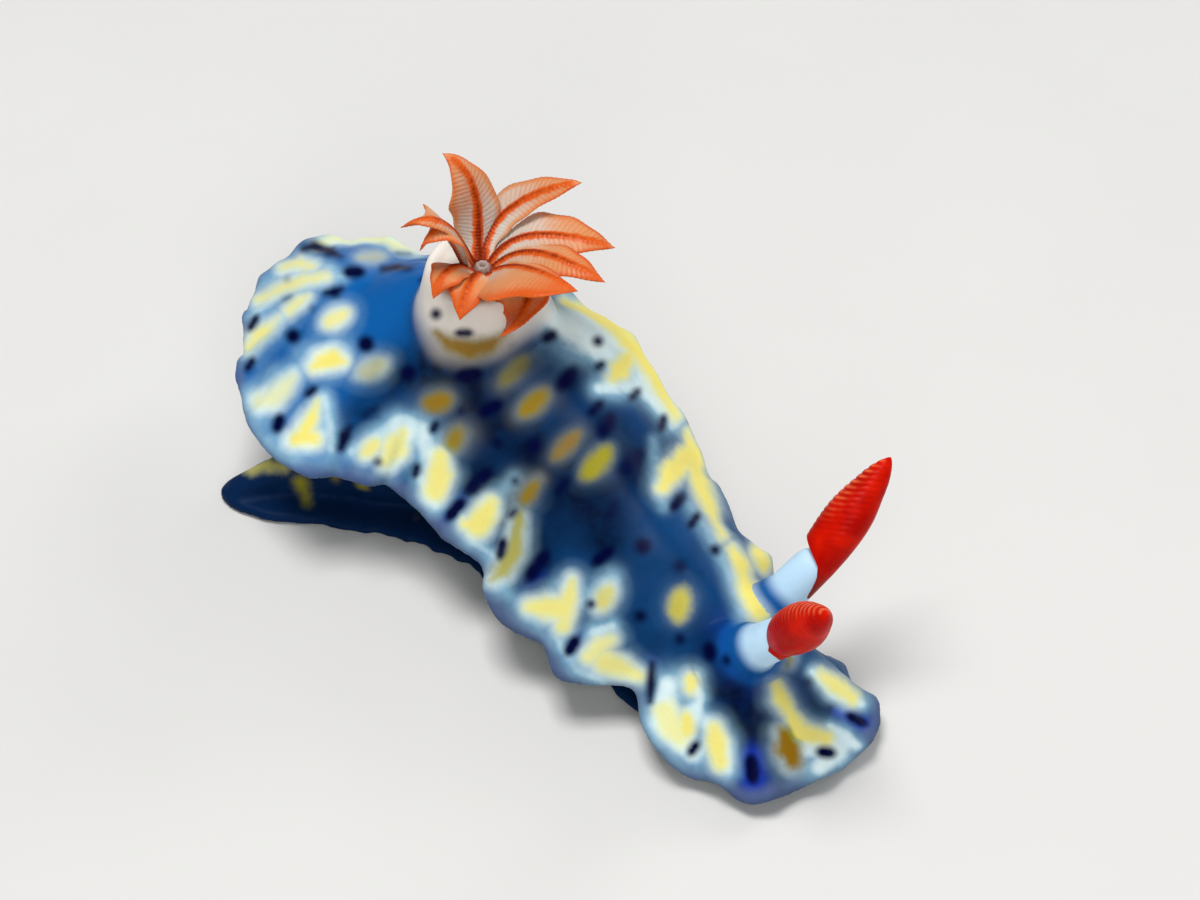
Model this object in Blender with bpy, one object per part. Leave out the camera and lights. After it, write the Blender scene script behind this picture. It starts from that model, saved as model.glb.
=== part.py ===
"""A sea slug, Hypselodoris infucata, crawling on its foot: a still model at life size.

Lengths are in millimetres until a mesh is made, and a mesh is in metres. X points to the head, Y to
the slug's left and Z up, and the sole of the foot lies on the floor at Z = 0. The back is a mantle
that hangs over the body all round like a skirt. A core line runs along its middle, and every point
of the mantle is told by its place round the rim and its share of the way from the core to the rim.
"""

import math

import bmesh
import bpy
import numpy as np
from mathutils import Matrix, Vector

MM = 0.001
GAP = 0.3

# The middle of the whole model's box, which becomes the origin
BOX_MIDDLE = (-0.739, 1.28)

# The core line of the back: its two ends, its course seen from above, and its height
CORE_REAR = -10.5
CORE_FRONT = 10.2
SPINE = ((-10.5, 1.3), (-8, 2.0), (-5.5, 2.4), (-2, 2.1), (0, 1.7), (4, 0.4), (8, -0.4), (10.2, -0.3))
CREST = ((-10.5, 8.4), (-8, 9.7), (-5.5, 10.2), (-2, 9.5), (2, 8.2), (6, 6.7), (10.2, 5.0))

# The rim of the mantle. Its place runs from 0 to 4: along the right side from rear to front, round
# the head, back along the left side, and round the rear.
REACH = ((0.0, 6.45), (0.03, 6.55), (0.09, 5.9), (0.15, 5.9), (0.23, 5.3), (0.36, 5.3), (0.44, 5.4),
         (0.55, 4.8), (0.62, 5.3), (0.66, 5.35), (0.72, 4.5), (0.79, 4.9), (0.86, 2.95), (0.9, 3.8),
         (0.97, 4.25), (1.08, 3.95), (1.2, 4.6), (1.34, 4.15), (1.5, 4.35), (1.64, 4.65), (1.8, 3.85),
         (1.93, 3.3), (2.08, 3.85), (2.15, 4.2), (2.2, 4.25), (2.27, 4.1), (2.45, 4.65), (2.6, 5.15),
         (2.69, 5.3), (2.8, 4.95), (2.95, 4.8), (3.1, 5.35), (3.16, 5.85), (3.28, 6.1), (3.43, 5.4),
         (3.6, 4.7), (3.75, 5.05), (3.9, 5.85), (4.0, 6.45))
RIM = ((0.0, 5.0), (0.15, 4.85), (0.3, 4.6), (0.45, 4.15), (0.6, 3.5), (0.75, 2.75), (0.86, 2.45),
       (0.93, 1.7), (1.0, 1.25), (1.2, 1.1), (1.8, 1.2), (2.0, 1.7), (2.1, 2.9), (2.2, 3.7), (2.35, 4.4),
       (2.5, 5.3), (2.62, 6.5), (2.8, 6.95), (2.95, 6.5), (3.1, 6.2), (3.3, 5.8), (3.5, 5.75), (3.8, 5.2),
       (4.0, 5.0))
PLACES_ROUND = 4.0

# The back's profile from the core to the rim: a dome that flares a little at its edge
DOME_POWER = 1.8
FLARE = 0.15
FLARE_POWER = 8.0
RUFFLES = 26
RUFFLE_HEIGHT = 0.22
RUFFLE_REACH = 0.1
RUFFLE_POWER = 4.0
RUFFLE_START = 0.9

# How thick the mantle is over the core line, and at its rim
CORE_THICK = ((-10.5, 2.2), (-5, 3.0), (4, 2.7), (10.2, 1.9))
RIM_THICK = 0.65
RIM_ROUND = 0.12
MANTLE_SHARES = (0.0, 0.22, 0.42, 0.6, 0.76, 0.89, 1.0)
MANTLE_COLUMNS_A_PLACE = 26
MANTLE_CUTS = (-4.0, 4.6)

# The foot: its course, its half width and its thickness
FOOT_LINE = ((-13.2, -4.9), (-11.8, -3.5), (-10.4, -1.8), (-8.8, -0.1), (-6.5, 1.4), (-4.0, 2.1),
             (0.0, 1.6), (4.0, 0.4), (8.0, -0.4), (12.6, -0.3))
FOOT_HALF_WIDTH = ((-12.9, 0.4), (-12.2, 1.2), (-11.0, 2.0), (-8.8, 3.0), (-5.0, 3.5), (0.0, 3.2),
                   (5.0, 2.7), (9.0, 2.4), (10.8, 1.9), (11.4, 0.9))
FOOT_THICK = 1.0
FOOT_EDGE = 0.55
FOOT_SPANS = (("foot_rear", -8.5, -4.15), ("foot_middle", -3.85, 4.45), ("foot_front", 4.75, 11.4))
FOOT_STEP = 0.9

# The flanks, between the foot and the mantle, and the head under the frill
FLANK_FOOT_SHARE = 0.78
FLANK_TOP = ((-10.4, 1.2), (-8.5, 2.6), (-5.0, 3.2), (0.0, 3.0), (4.5, 2.6), (7.5, 1.9), (8.5, 2.0))
FLANK_WAIST = 0.92
FLANK_STEP = 1.1
HEAD_REAR = 8.65
HEAD_FRONT = 12.5
HEAD_HALF_WIDTH = ((8.65, 2.0), (10.5, 2.1), (11.8, 1.7), (12.5, 0.9))
HEAD_TOP = ((8.65, 4.4), (10.2, 3.2), (11.8, 2.3), (12.5, 1.9))
MOUTH_INSET = 0.3
MOUTH_DEPTH = 0.35

# The tail, behind the foot: the height of its keel, and its tip
TAIL_FRONT = -8.8
TAIL_TIP = -12.9
TAIL_KEEL = ((-12.9, 0.7), (-12.0, 1.4), (-10.6, 2.6), (-8.8, 4.2))
TAIL_STEPS = 9

# The feelers beside the mouth
TENTACLE_BASE = (11.95, 0.95, 0.8)
TENTACLE_LEAN = (0.45, 0.25, -0.85)
TENTACLE_LENGTH = 0.62
TENTACLE_RADIUS = 0.34

# The rhinophores: base on the back, the way the stalk leans, and the way the club leans
RHINOPHORES = {"right": ((10.4, -1.25), (0.64, 0.09, 0.76), (0.54, -0.25, 0.8)),
               "left": ((9.65, 1.15), (0.33, 0.62, 0.71), (0.16, 0.68, 0.72))}
STALK_LENGTH = 2.6
STALK_RADII = (0.8, 0.7)
CLUB_LENGTH = 4.5
CLUB_RADIUS = 0.94
CLUB_LAMELLAE = 11
LAMELLA_DEPTH = 0.11
LAMELLA_TILT = 0.45
SHEATH_RADII = (1.3, 0.94)
SHEATH_HEIGHT = 1.0
ROUND_SEGMENTS = 14

# The gills: a collar on the back, a papilla in its middle, and plumes round it
GILL_CENTRE = (-5.2, 2.4)
COLLAR_OUTER = ((2.5, 0.0), (2.36, 0.5), (2.24, 1.1), (2.14, 1.65), (2.02, 1.85))
COLLAR_INNER = ((1.88, 1.8), (1.8, 1.6), (0.0, 1.6))
COLLAR_SEGMENTS = 28
PAPILLA_PROFILE = ((0.55, 0.0), (0.5, 0.5), (0.36, 0.85), (0.0, 0.95))
PLUME_ROOT_RADIUS = 1.38
PLUME_STATIONS = 15
PLUME_HALF_THICK = 0.27
PLUME_PINNA = 0.16
PLUME_FOLD = 0.3
PLUME_SPREAD = 70
PLUME_LEAF = 1.2

# Each plume: the turns of its root and of its tip about the collar, the tip's distance and rise from
# the collar's floor, how far its middle is lifted and bowed to its left, and its half width
PLUMES = ((157, 166, 2.47, 3.7, -0.9, -0.6, 0.85), (121, 65, 4.09, 2.5, -0.9, 0.6, 0.85),
          (85, 40, 4.94, 0.8, -0.2, -0.1, 0.85), (49, 13, 5.13, 1.2, -0.3, -0.1, 0.75),
          (13, -4, 4.97, 1.8, -0.4, -0.3, 0.75), (-23, -39, 3.64, -0.4, -0.3, 1.1, 0.8),
          (-59, -63, 3.4, 0.2, 0.2, 0.0, 0.7), (-95, -84, 3.13, 0.6, 0.3, -0.1, 0.6),
          (-131, -104, 2.74, 2.1, 0.9, 0.3, 0.7), (-167, -121, 3.09, 2.7, 0.8, 1.0, 0.85))


def through(points, x):
    """The height at x of a smooth curve through the points, with no overshoot between them."""
    xs = np.array([point[0] for point in points], float)
    ys = np.array([point[1] for point in points], float)
    steps = np.diff(xs)
    slopes = np.diff(ys) / steps
    tangents = np.zeros_like(ys)
    for i in range(1, len(xs) - 1):
        if slopes[i - 1] * slopes[i] > 0:
            before = 2 * steps[i] + steps[i - 1]
            after = steps[i] + 2 * steps[i - 1]
            tangents[i] = (before + after) / (before / slopes[i - 1] + after / slopes[i])
    tangents[0] = slopes[0]
    tangents[-1] = slopes[-1]
    x = min(max(x, xs[0]), xs[-1])
    i = min(max(int(np.searchsorted(xs, x)) - 1, 0), len(xs) - 2)
    t = (x - xs[i]) / steps[i]
    return ((2 * t**3 - 3 * t**2 + 1) * ys[i] + (t**3 - 2 * t**2 + t) * steps[i] * tangents[i]
            + (3 * t**2 - 2 * t**3) * ys[i + 1] + (t**3 - t**2) * steps[i] * tangents[i + 1])


def heading(points, x):
    """The direction of a course at x, as an angle from the X axis."""
    reach = 0.05
    return math.atan2(through(points, x + reach) - through(points, x - reach), 2 * reach)


def core_frame(place):
    """The core point that a place on the rim belongs to, and the way out to the rim."""
    place = place % PLACES_ROUND
    length = CORE_FRONT - CORE_REAR
    if place < 1:
        station, turn = CORE_REAR + length * place, -0.5
    elif place < 2:
        station, turn = CORE_FRONT, place - 1.5
    elif place < 3:
        station, turn = CORE_FRONT - length * (place - 2), 0.5
    else:
        station, turn = CORE_REAR, place - 2.5
    inside = min(max(station, CORE_REAR + 0.1), CORE_FRONT - 0.1)
    return station, heading(SPINE, inside) + turn * math.pi


def ruffle(place):
    """A wave along the rim, from -1 to 1, that isn't quite even."""
    turn = 2 * math.pi * place / PLACES_ROUND
    return 0.7 * math.sin(RUFFLES * turn + RUFFLE_START) + 0.3 * math.sin(17 * turn + 2.0)


def mantle_point(place, share, under=False, out=0.0):
    """A point of the mantle's top, or of its underside, and how far out past the rim."""
    station, direction = core_frame(place)
    place = place % PLACES_ROUND
    fold = ruffle(place) * share**RUFFLE_POWER
    reach = through(REACH, place) * share + RUFFLE_REACH * fold + out
    crest = through(CREST, station)
    drop = (1 + FLARE) * share**DOME_POWER - FLARE * share**FLARE_POWER
    z = crest + (through(RIM, place) - crest) * drop + RUFFLE_HEIGHT * fold
    if under:
        z -= RIM_THICK + (through(CORE_THICK, station) - RIM_THICK) * (1 - share**2)
    x = station + reach * math.cos(direction)
    return Vector((x, through(SPINE, station) + reach * math.sin(direction), z))


def place_of(x, y):
    """The place and share of the mantle that lie above a point of the floor."""
    station = min(max(x, CORE_REAR), CORE_FRONT)
    for _ in range(12):
        turn = heading(SPINE, min(max(station, CORE_REAR + 0.1), CORE_FRONT - 0.1))
        along = (x - station) * math.cos(turn) + (y - through(SPINE, station)) * math.sin(turn)
        station = min(max(station + along, CORE_REAR), CORE_FRONT)
    away = Vector((x - station, y - through(SPINE, station)))
    turn = heading(SPINE, min(max(station, CORE_REAR + 0.1), CORE_FRONT - 0.1))
    angle = math.remainder(math.atan2(away.y, away.x) - turn, 2 * math.pi) / math.pi
    length = CORE_FRONT - CORE_REAR
    if station >= CORE_FRONT and abs(angle) < 0.5:
        place = 1.5 + angle
    elif station <= CORE_REAR and abs(angle) > 0.5:
        place = 2.5 + (angle if angle > 0 else angle + 2)
    elif angle < 0:
        place = (station - CORE_REAR) / length
    else:
        place = 2 + (CORE_FRONT - station) / length
    return place, away.length / through(REACH, place % PLACES_ROUND)


def back_height(x, y):
    """The height of the mantle's top over a point of the floor."""
    place, share = place_of(x, y)
    return mantle_point(place, min(share, 1.0)).z


def underside_height(x, y):
    """The height of the mantle's underside over a point of the floor."""
    place, share = place_of(x, y)
    return mantle_point(place, min(share, 1.0), under=True).z


def clear_scene():
    """Remove what an empty file starts with."""
    for thing in list(bpy.data.objects):
        bpy.data.objects.remove(thing, do_unlink=True)


def make_material(name, colour, roughness):
    """A Principled material in one base colour."""
    material = bpy.data.materials.new(name)
    material.use_nodes = True
    shader = material.node_tree.nodes["Principled BSDF"]
    shader.inputs["Base Color"].default_value = (*colour, 1.0)
    shader.inputs["Roughness"].default_value = roughness
    shader.inputs["Metallic"].default_value = 0.0
    return material


def finish_piece(name, mesh_data, colour, roughness=0.35):
    """Turn a mesh in millimetres into a named object with its material."""
    bmesh.ops.remove_doubles(mesh_data, verts=mesh_data.verts[:], dist=0.002)
    holes = [edge for edge in mesh_data.edges if edge.is_boundary]
    if holes:
        bmesh.ops.holes_fill(mesh_data, edges=holes)
    bmesh.ops.recalc_face_normals(mesh_data, faces=mesh_data.faces[:])
    move = Matrix.Translation((-BOX_MIDDLE[0], -BOX_MIDDLE[1], 0.0))
    mesh_data.transform(Matrix.Scale(MM, 4) @ move)
    mesh = bpy.data.meshes.new(name)
    mesh_data.to_mesh(mesh)
    mesh_data.free()
    mesh.shade_smooth()
    mesh.set_sharp_from_angle(angle=math.radians(50))
    piece = bpy.data.objects.new(name, mesh)
    piece.data.materials.append(make_material(name, colour, roughness))
    bpy.data.collections["sea_slug"].objects.link(piece)
    return piece


def loft(rings):
    """A closed skin through rings of equally many points, with a flat face at each end."""
    mesh_data = bmesh.new()
    made = [[mesh_data.verts.new(point) for point in ring] for ring in rings]
    for near, far in zip(made, made[1:]):
        for i in range(len(near)):
            j = (i + 1) % len(near)
            mesh_data.faces.new((near[i], near[j], far[j], far[i]))
    mesh_data.faces.new(list(reversed(made[0])))
    mesh_data.faces.new(made[-1])
    return mesh_data


def turned(profile, segments=ROUND_SEGMENTS):
    """A profile of radius and height spun about the Z axis."""
    mesh_data = bmesh.new()
    points = [mesh_data.verts.new((radius, 0.0, height)) for radius, height in profile]
    edges = [mesh_data.edges.new(pair) for pair in zip(points, points[1:])]
    bmesh.ops.spin(mesh_data, geom=points + edges, axis=(0, 0, 1), cent=(0, 0, 0), angle=2 * math.pi,
                   steps=segments, use_duplicate=False)
    bmesh.ops.remove_doubles(mesh_data, verts=mesh_data.verts[:], dist=0.002)
    return mesh_data


def stations(start, end, step):
    """Places from start to end, evenly spread at about the given step."""
    count = max(2, int(round(abs(end - start) / step)) + 1)
    return [float(value) for value in np.linspace(start, end, count)]


def mantle_strip(mesh_data, start, end):
    """A strip of mantle between two places on the rim: top, edge and underside in one sheet."""
    columns = max(2, int(round((end - start) * MANTLE_COLUMNS_A_PLACE)))
    rows = [(share, False, 0.0) for share in MANTLE_SHARES]
    rows.append((1.0, None, RIM_ROUND))
    rows.extend((share, True, 0.0) for share in reversed(MANTLE_SHARES))
    grid = bmesh.ops.create_grid(mesh_data, x_segments=columns, y_segments=len(rows) - 1, size=1.0)
    for vertex in grid["verts"]:
        column = round((vertex.co.x + 1) / 2 * columns)
        share, under, out = rows[round((vertex.co.y + 1) / 2 * (len(rows) - 1))]
        place = start + (end - start) * column / columns
        if under is None:
            point = (mantle_point(place, share, False, out) + mantle_point(place, share, True, out)) / 2
        else:
            point = mantle_point(place, share, under, out)
        vertex.co = point


def right_place(station):
    """The place on the right rim beside a station of the core."""
    return (station - CORE_REAR) / (CORE_FRONT - CORE_REAR)


def make_mantle():
    """The mantle in three lengths, parted by thin cuts."""
    rear_cut, front_cut = (right_place(station) for station in MANTLE_CUTS)
    half_gap = GAP / 2 / (CORE_FRONT - CORE_REAR)
    strips = {"mantle_rear": ((3 - rear_cut + half_gap, 4 + rear_cut - half_gap),),
              "mantle_middle": ((rear_cut + half_gap, front_cut - half_gap),
                                (3 - front_cut + half_gap, 3 - rear_cut - half_gap)),
              "mantle_front": ((front_cut + half_gap, 3 - front_cut - half_gap),)}
    for name, spans in strips.items():
        mesh_data = bmesh.new()
        for start, end in spans:
            mantle_strip(mesh_data, start, end)
        finish_piece(name, mesh_data, (0.03, 0.09, 0.33))


def foot_point(station, across, z):
    """A point beside the foot's course."""
    turn = heading(FOOT_LINE, station)
    x = station - across * math.sin(turn)
    return Vector((x, through(FOOT_LINE, station) + across * math.cos(turn), z))


def make_foot():
    """The sole in three lengths: flat below, with a thin edge that stands out from the flanks."""
    for name, start, end in FOOT_SPANS:
        rings = []
        for station in stations(start, end, FOOT_STEP):
            width = through(FOOT_HALF_WIDTH, station)
            inner = width * (FLANK_FOOT_SHARE + 0.05)
            outline = ((-width, 0.0), (width, 0.0), (width + RIM_ROUND, FOOT_EDGE / 2), (width, FOOT_EDGE),
                       (inner, FOOT_THICK), (-inner, FOOT_THICK), (-width, FOOT_EDGE),
                       (-width - RIM_ROUND, FOOT_EDGE / 2))
            rings.append([foot_point(station, across, z) for across, z in outline])
        finish_piece(name, loft(rings), (0.02, 0.06, 0.2))


def flank_ring(station, bottom, top_half_width):
    """One section of a flank: from just over the foot or tail to just under the mantle."""
    low = through(FOOT_HALF_WIDTH, station) * FLANK_FOOT_SHARE
    low = min(low, top_half_width * 1.15)
    top_points = []
    for share in (-1.0, -0.66, -0.33, 0.0, 0.33, 0.66, 1.0):
        point = foot_point(station, top_half_width * share, 0.0)
        point.z = underside_height(point.x, point.y) - GAP
        top_points.append(point)
    right_top, left_top = top_points[0].z, top_points[-1].z
    waist = FLANK_WAIST * (low + top_half_width) / 2
    ring = [foot_point(station, across, bottom) for across in (-low, 0.0, low)]
    ring.append(foot_point(station, waist, bottom + (left_top - bottom) * 0.35))
    ring.append(foot_point(station, waist * 1.03, bottom + (left_top - bottom) * 0.7))
    ring.extend(reversed(top_points))
    ring.append(foot_point(station, -waist * 1.03, bottom + (right_top - bottom) * 0.7))
    ring.append(foot_point(station, -waist, bottom + (right_top - bottom) * 0.35))
    return ring


def make_flanks():
    """The sides of the body, in three lengths, and the wedge over the root of the tail."""
    floor = FOOT_THICK + GAP
    rear = [flank_ring(station, through(TAIL_KEEL, station) + GAP, through(FLANK_TOP, station))
            for station in (-10.4, -9.6, -8.8)]
    rear += [flank_ring(station, floor, through(FLANK_TOP, station))
             for station in stations(-8.35, -4.15, FLANK_STEP)]
    finish_piece("flank_rear", loft(rear), (0.02, 0.06, 0.24))
    for name, start, end in (("flank_middle", -3.85, 4.45), ("flank_front", 4.75, 8.35)):
        rings = [flank_ring(station, floor, through(FLANK_TOP, station))
                 for station in stations(start, end, FLANK_STEP)]
        finish_piece(name, loft(rings), (0.02, 0.06, 0.24))


def make_head():
    """The head under the frill, with a small round mouth at its front."""
    floor = FOOT_THICK + GAP
    rings = []
    for station in stations(HEAD_REAR, HEAD_FRONT, 0.65):
        width = through(HEAD_HALF_WIDTH, station)
        ring = []
        for share, lift in ((-0.7, 0.0), (0.7, 0.0), (1.0, 0.35), (0.9, 0.75), (0.45, 1.0), (-0.45, 1.0),
                            (-0.9, 0.75), (-1.0, 0.35)):
            point = foot_point(station, width * share, 0.0)
            top = min(through(HEAD_TOP, station), underside_height(point.x, point.y) - GAP)
            point.z = floor + (top - floor) * lift
            ring.append(point)
        rings.append(ring)
    mesh_data = loft(rings)
    front = max(mesh_data.faces, key=lambda face: face.calc_center_median().x)
    bmesh.ops.inset_individual(mesh_data, faces=[front], thickness=MOUTH_INSET, depth=0.0)
    bmesh.ops.translate(mesh_data, verts=front.verts[:], vec=(-MOUTH_DEPTH, 0.0, 0.0))
    finish_piece("head", mesh_data, (0.05, 0.12, 0.35))


def make_tail():
    """The tail: flat below, keeled above, bent to the slug's right."""
    rings = []
    for station in np.linspace(TAIL_TIP, TAIL_FRONT, TAIL_STEPS):
        width = through(FOOT_HALF_WIDTH, station)
        keel = through(TAIL_KEEL, station)
        edge = min(FOOT_EDGE, keel * 0.6)
        outline = ((-width, 0.0), (width, 0.0), (width + RIM_ROUND, edge / 2), (width, edge),
                   (width * 0.72, keel * 0.55), (width * 0.35, keel * 0.9), (0.0, keel),
                   (-width * 0.35, keel * 0.9), (-width * 0.72, keel * 0.55), (-width, edge),
                   (-width - RIM_ROUND, edge / 2))
        rings.append([foot_point(float(station), across, z) for across, z in outline])
    finish_piece("tail", loft(rings), (0.02, 0.06, 0.22))


def axis_matrix(origin, direction):
    """A frame at the origin whose Z axis points along the direction."""
    turn = Vector(direction).to_track_quat("Z", "Y").to_matrix().to_4x4()
    return Matrix.Translation(origin) @ turn


def land_on_back(vertices, direction):
    """Slide vertices along a direction until they are one gap over the back."""
    way = Vector(direction).normalized()
    for vertex in vertices:
        low, high = -3.0, 3.0
        for _ in range(30):
            middle = (low + high) / 2
            point = vertex.co + way * middle
            if point.z - back_height(point.x, point.y) > GAP:
                high = middle
            else:
                low = middle
        vertex.co = vertex.co + way * high


def club_swelling(part):
    """The share of its full radius that a club has along its length, with a tapering tip."""
    swelling = 0.86 + 0.14 * math.sin(math.pi * min(1.0, part / 0.7))
    return swelling * (1 - max(0.0, (part - 0.4) / 0.6) ** 2.2) ** 0.55


def make_rhinophore(side, base, lean, club_lean):
    """One rhinophore: a smooth stalk in its sheath, and a club ringed with slanting lamellae."""
    origin = Vector((base[0], base[1], back_height(*base)))
    frame = axis_matrix(origin, lean)
    low, high = STALK_RADII
    foot, brim = SHEATH_RADII
    stalk = turned(((0.0, 0.0), (foot, 0.0), (brim, SHEATH_HEIGHT), (low, SHEATH_HEIGHT * 1.08),
                    ((low + high) / 2, STALK_LENGTH * 0.75), (high, STALK_LENGTH), (0.0, STALK_LENGTH)))
    feet = [vertex for vertex in stalk.verts if vertex.co.z < 0.01]
    upward = frame.to_3x3().inverted() @ Vector((0.0, 0.0, 1.0))
    tilt = upward.angle(Vector((0.0, 0.0, 1.0)))
    slant = math.tan(tilt / 2) / math.sin(tilt)
    for vertex in stalk.verts:
        if SHEATH_HEIGHT - 0.01 < vertex.co.z < SHEATH_HEIGHT * 1.1:
            vertex.co.z -= slant * (vertex.co.x * upward.x + vertex.co.y * upward.y)
    stalk.transform(frame)
    land_on_back(feet, lean)
    finish_piece("rhinophore_stalk_" + side, stalk, (0.55, 0.62, 0.8))

    profile = [(0.0, 0.0), (STALK_RADII[1] * 0.9, 0.0)]
    rows = 2 * CLUB_LAMELLAE
    for row in range(rows):
        part = (row + 0.5) / rows
        bulge = club_swelling(part)
        ridge = LAMELLA_DEPTH * (1 if row % 2 else 0) * min(1.0, 4 * (1 - part))
        profile.append(((CLUB_RADIUS - LAMELLA_DEPTH) * bulge + ridge, 0.25 + part * (CLUB_LENGTH - 0.4)))
    profile.append((0.0, CLUB_LENGTH))
    club = turned(profile)
    for vertex in club.verts:
        part = vertex.co.z / CLUB_LENGTH
        vertex.co.z -= LAMELLA_TILT * vertex.co.x * math.sin(math.pi * part)
    bend = Vector(lean).angle(Vector(club_lean))
    lift = (GAP + STALK_RADII[1] * math.sin(bend)) / math.cos(bend)
    stalk_top = frame @ Vector((0.0, 0.0, STALK_LENGTH))
    club.transform(axis_matrix(stalk_top, club_lean) @ Matrix.Translation((0.0, 0.0, lift)))
    finish_piece("rhinophore_club_" + side, club, (0.75, 0.05, 0.02))


def make_collar():
    """The gill collar: a low crater on the back, with the papilla in its middle."""
    centre = Vector((*GILL_CENTRE, back_height(*GILL_CENTRE)))
    sole = tuple((COLLAR_OUTER[0][0] * share, 0.0) for share in (0.0, 0.35, 0.7))
    collar = turned(sole + COLLAR_OUTER + COLLAR_INNER, COLLAR_SEGMENTS)
    collar.transform(Matrix.Translation(centre))
    feet = [vertex for vertex in collar.verts if vertex.co.z < centre.z + 0.01]
    for vertex in feet:
        vertex.co.z = back_height(vertex.co.x, vertex.co.y) + GAP
    finish_piece("gill_collar", collar, (0.6, 0.62, 0.68))
    papilla = turned(((0.0, 0.0),) + PAPILLA_PROFILE)
    papilla.transform(Matrix.Translation(centre + Vector((0.0, 0.0, COLLAR_INNER[-1][1] + GAP))))
    finish_piece("gill_papilla", papilla, (0.4, 0.45, 0.6))


def bezier(points, t):
    """A point on a cubic curve with two end points and two handles."""
    a, b, c, d = points
    return a * (1 - t) ** 3 + b * 3 * t * (1 - t) ** 2 + c * 3 * t**2 * (1 - t) + d * t**3


def plume_course(root_turn, tip_turn, distance, rise, lift, bow):
    """The course of a plume's rachis: up out of the collar, out, and over at the tip."""
    centre = Vector((*GILL_CENTRE, back_height(*GILL_CENTRE) + COLLAR_INNER[-1][1] + GAP))
    out = Vector((math.cos(math.radians(root_turn)), math.sin(math.radians(root_turn)), 0.0))
    way = Vector((math.cos(math.radians(tip_turn)), math.sin(math.radians(tip_turn)), 0.0))
    root = centre + out * PLUME_ROOT_RADIUS
    tip = centre + way * distance + Vector((0.0, 0.0, rise))
    length = (tip - root).length
    middle = Vector((-way.y * bow, way.x * bow, lift))
    rising = root + Vector((0.0, 0.0, length * 0.3)) + out * length * 0.22 + middle * 0.6
    bending = tip - way * length * 0.3 + Vector((0.0, 0.0, length * 0.16)) + middle * 1.3
    return (root, rising, bending, tip)


def plume_room(index, neighbour, t, reach):
    """Half the room between a plume and a neighbour, a share t of the way to its tip."""
    root_spread = 360 / len(PLUMES)
    tip_spread = abs(math.remainder(PLUMES[neighbour][1] - PLUMES[index][1], 360))
    half_angle = math.radians(root_spread + (min(tip_spread, PLUME_SPREAD) - root_spread) * t) / 2
    return reach * math.sin(half_angle) - GAP / 2


def make_plume(index, root_turn, tip_turn, distance, rise, lift, bow, half_width):
    """One gill plume: a leaf folded along its rachis, with pinnae along both edges."""
    course = plume_course(root_turn, tip_turn, distance, rise, lift, bow)
    way = Vector((math.cos(math.radians(tip_turn)), math.sin(math.radians(tip_turn)), 0.0))
    rings = []
    for i in range(PLUME_STATIONS):
        t = i / (PLUME_STATIONS - 1)
        point = bezier(course, t)
        reach = math.hypot(point.x - GILL_CENTRE[0], point.y - GILL_CENTRE[1])
        ahead = (bezier(course, min(t + 0.01, 1.0)) - bezier(course, max(t - 0.01, 0.0))).normalized()
        across = Vector((-way.y, way.x, 0.0))
        across = (across - ahead * across.dot(ahead)).normalized()
        inward = ahead.cross(across).normalized()
        if i == 0:
            across, inward = Vector((-way.y, way.x, 0.0)), -way
        thick = PLUME_HALF_THICK * (1 - 0.5 * t)
        leaf = half_width * math.sin(math.pi * (0.08 + 0.92 * t) ** PLUME_LEAF) ** 0.7
        pinna = 1 - PLUME_PINNA * (i % 2 if t < 0.95 else 0)
        ring = []
        for side, level in ((0, -1.15), (1, -0.8), (1, 0.8), (0, 0.85), (-1, 0.8), (-1, -0.8)):
            neighbour = (index - side) % len(PLUMES)
            width = max(thick, min(leaf, plume_room(index, neighbour, t, reach)) * pinna) * abs(side)
            fold = PLUME_FOLD * max(0.0, width - thick)
            ring.append(point + across * width * side + inward * (thick * level + fold))
        rings.append(ring)
    finish_piece("gill_plume_%02d" % (index + 1), loft(rings), (0.85, 0.3, 0.12))


def make_tentacles():
    """The two small feelers beside the mouth."""
    for side, sign in (("right", -1.0), ("left", 1.0)):
        base = foot_point(TENTACLE_BASE[0], sign * TENTACLE_BASE[1], TENTACLE_BASE[2])
        lean = Vector((TENTACLE_LEAN[0], sign * TENTACLE_LEAN[1], TENTACLE_LEAN[2]))
        profile = ((0.0, 0.0), (TENTACLE_RADIUS, 0.0), (TENTACLE_RADIUS * 0.85, TENTACLE_LENGTH * 0.5),
                   (TENTACLE_RADIUS * 0.5, TENTACLE_LENGTH * 0.88), (0.0, TENTACLE_LENGTH))
        feeler = turned(profile, 10)
        feeler.transform(axis_matrix(base, lean))
        finish_piece("oral_tentacle_" + side, feeler, (0.3, 0.4, 0.7))


def make_slug():
    """Build every piece of the slug."""
    clear_scene()
    collection = bpy.data.collections.new("sea_slug")
    bpy.context.scene.collection.children.link(collection)
    make_mantle()
    make_foot()
    make_flanks()
    make_head()
    make_tail()
    make_tentacles()
    for side, (base, lean, club_lean) in RHINOPHORES.items():
        make_rhinophore(side, base, lean, club_lean)
    make_collar()
    for index, plume in enumerate(PLUMES):
        make_plume(index, *plume)


make_slug()
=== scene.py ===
# %% [markdown]
# # Modelling a sea slug: Hypselodoris infucata
#
# The slug is about 31 mm long. A blue mantle hangs over its body like a ruffled skirt, with yellow
# patches, pale halos and near-black spots. Two scarlet rhinophores stand on the head, and a ring of
# ten gill plumes stands in a pale collar on the back. The lesson builds one seamless skin, then the
# clubs of the rhinophores and the plumes, and gives each its material.
#
# Lengths are in millimetres while a piece is being shaped. The last thing done to each piece turns
# them into metres. X points to the head, Y to the slug's left, Z up, and the floor is at Z = 0.

import math

import bpy
import numpy as np
from mathutils import Matrix, Vector
from mathutils.bvhtree import BVHTree


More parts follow.
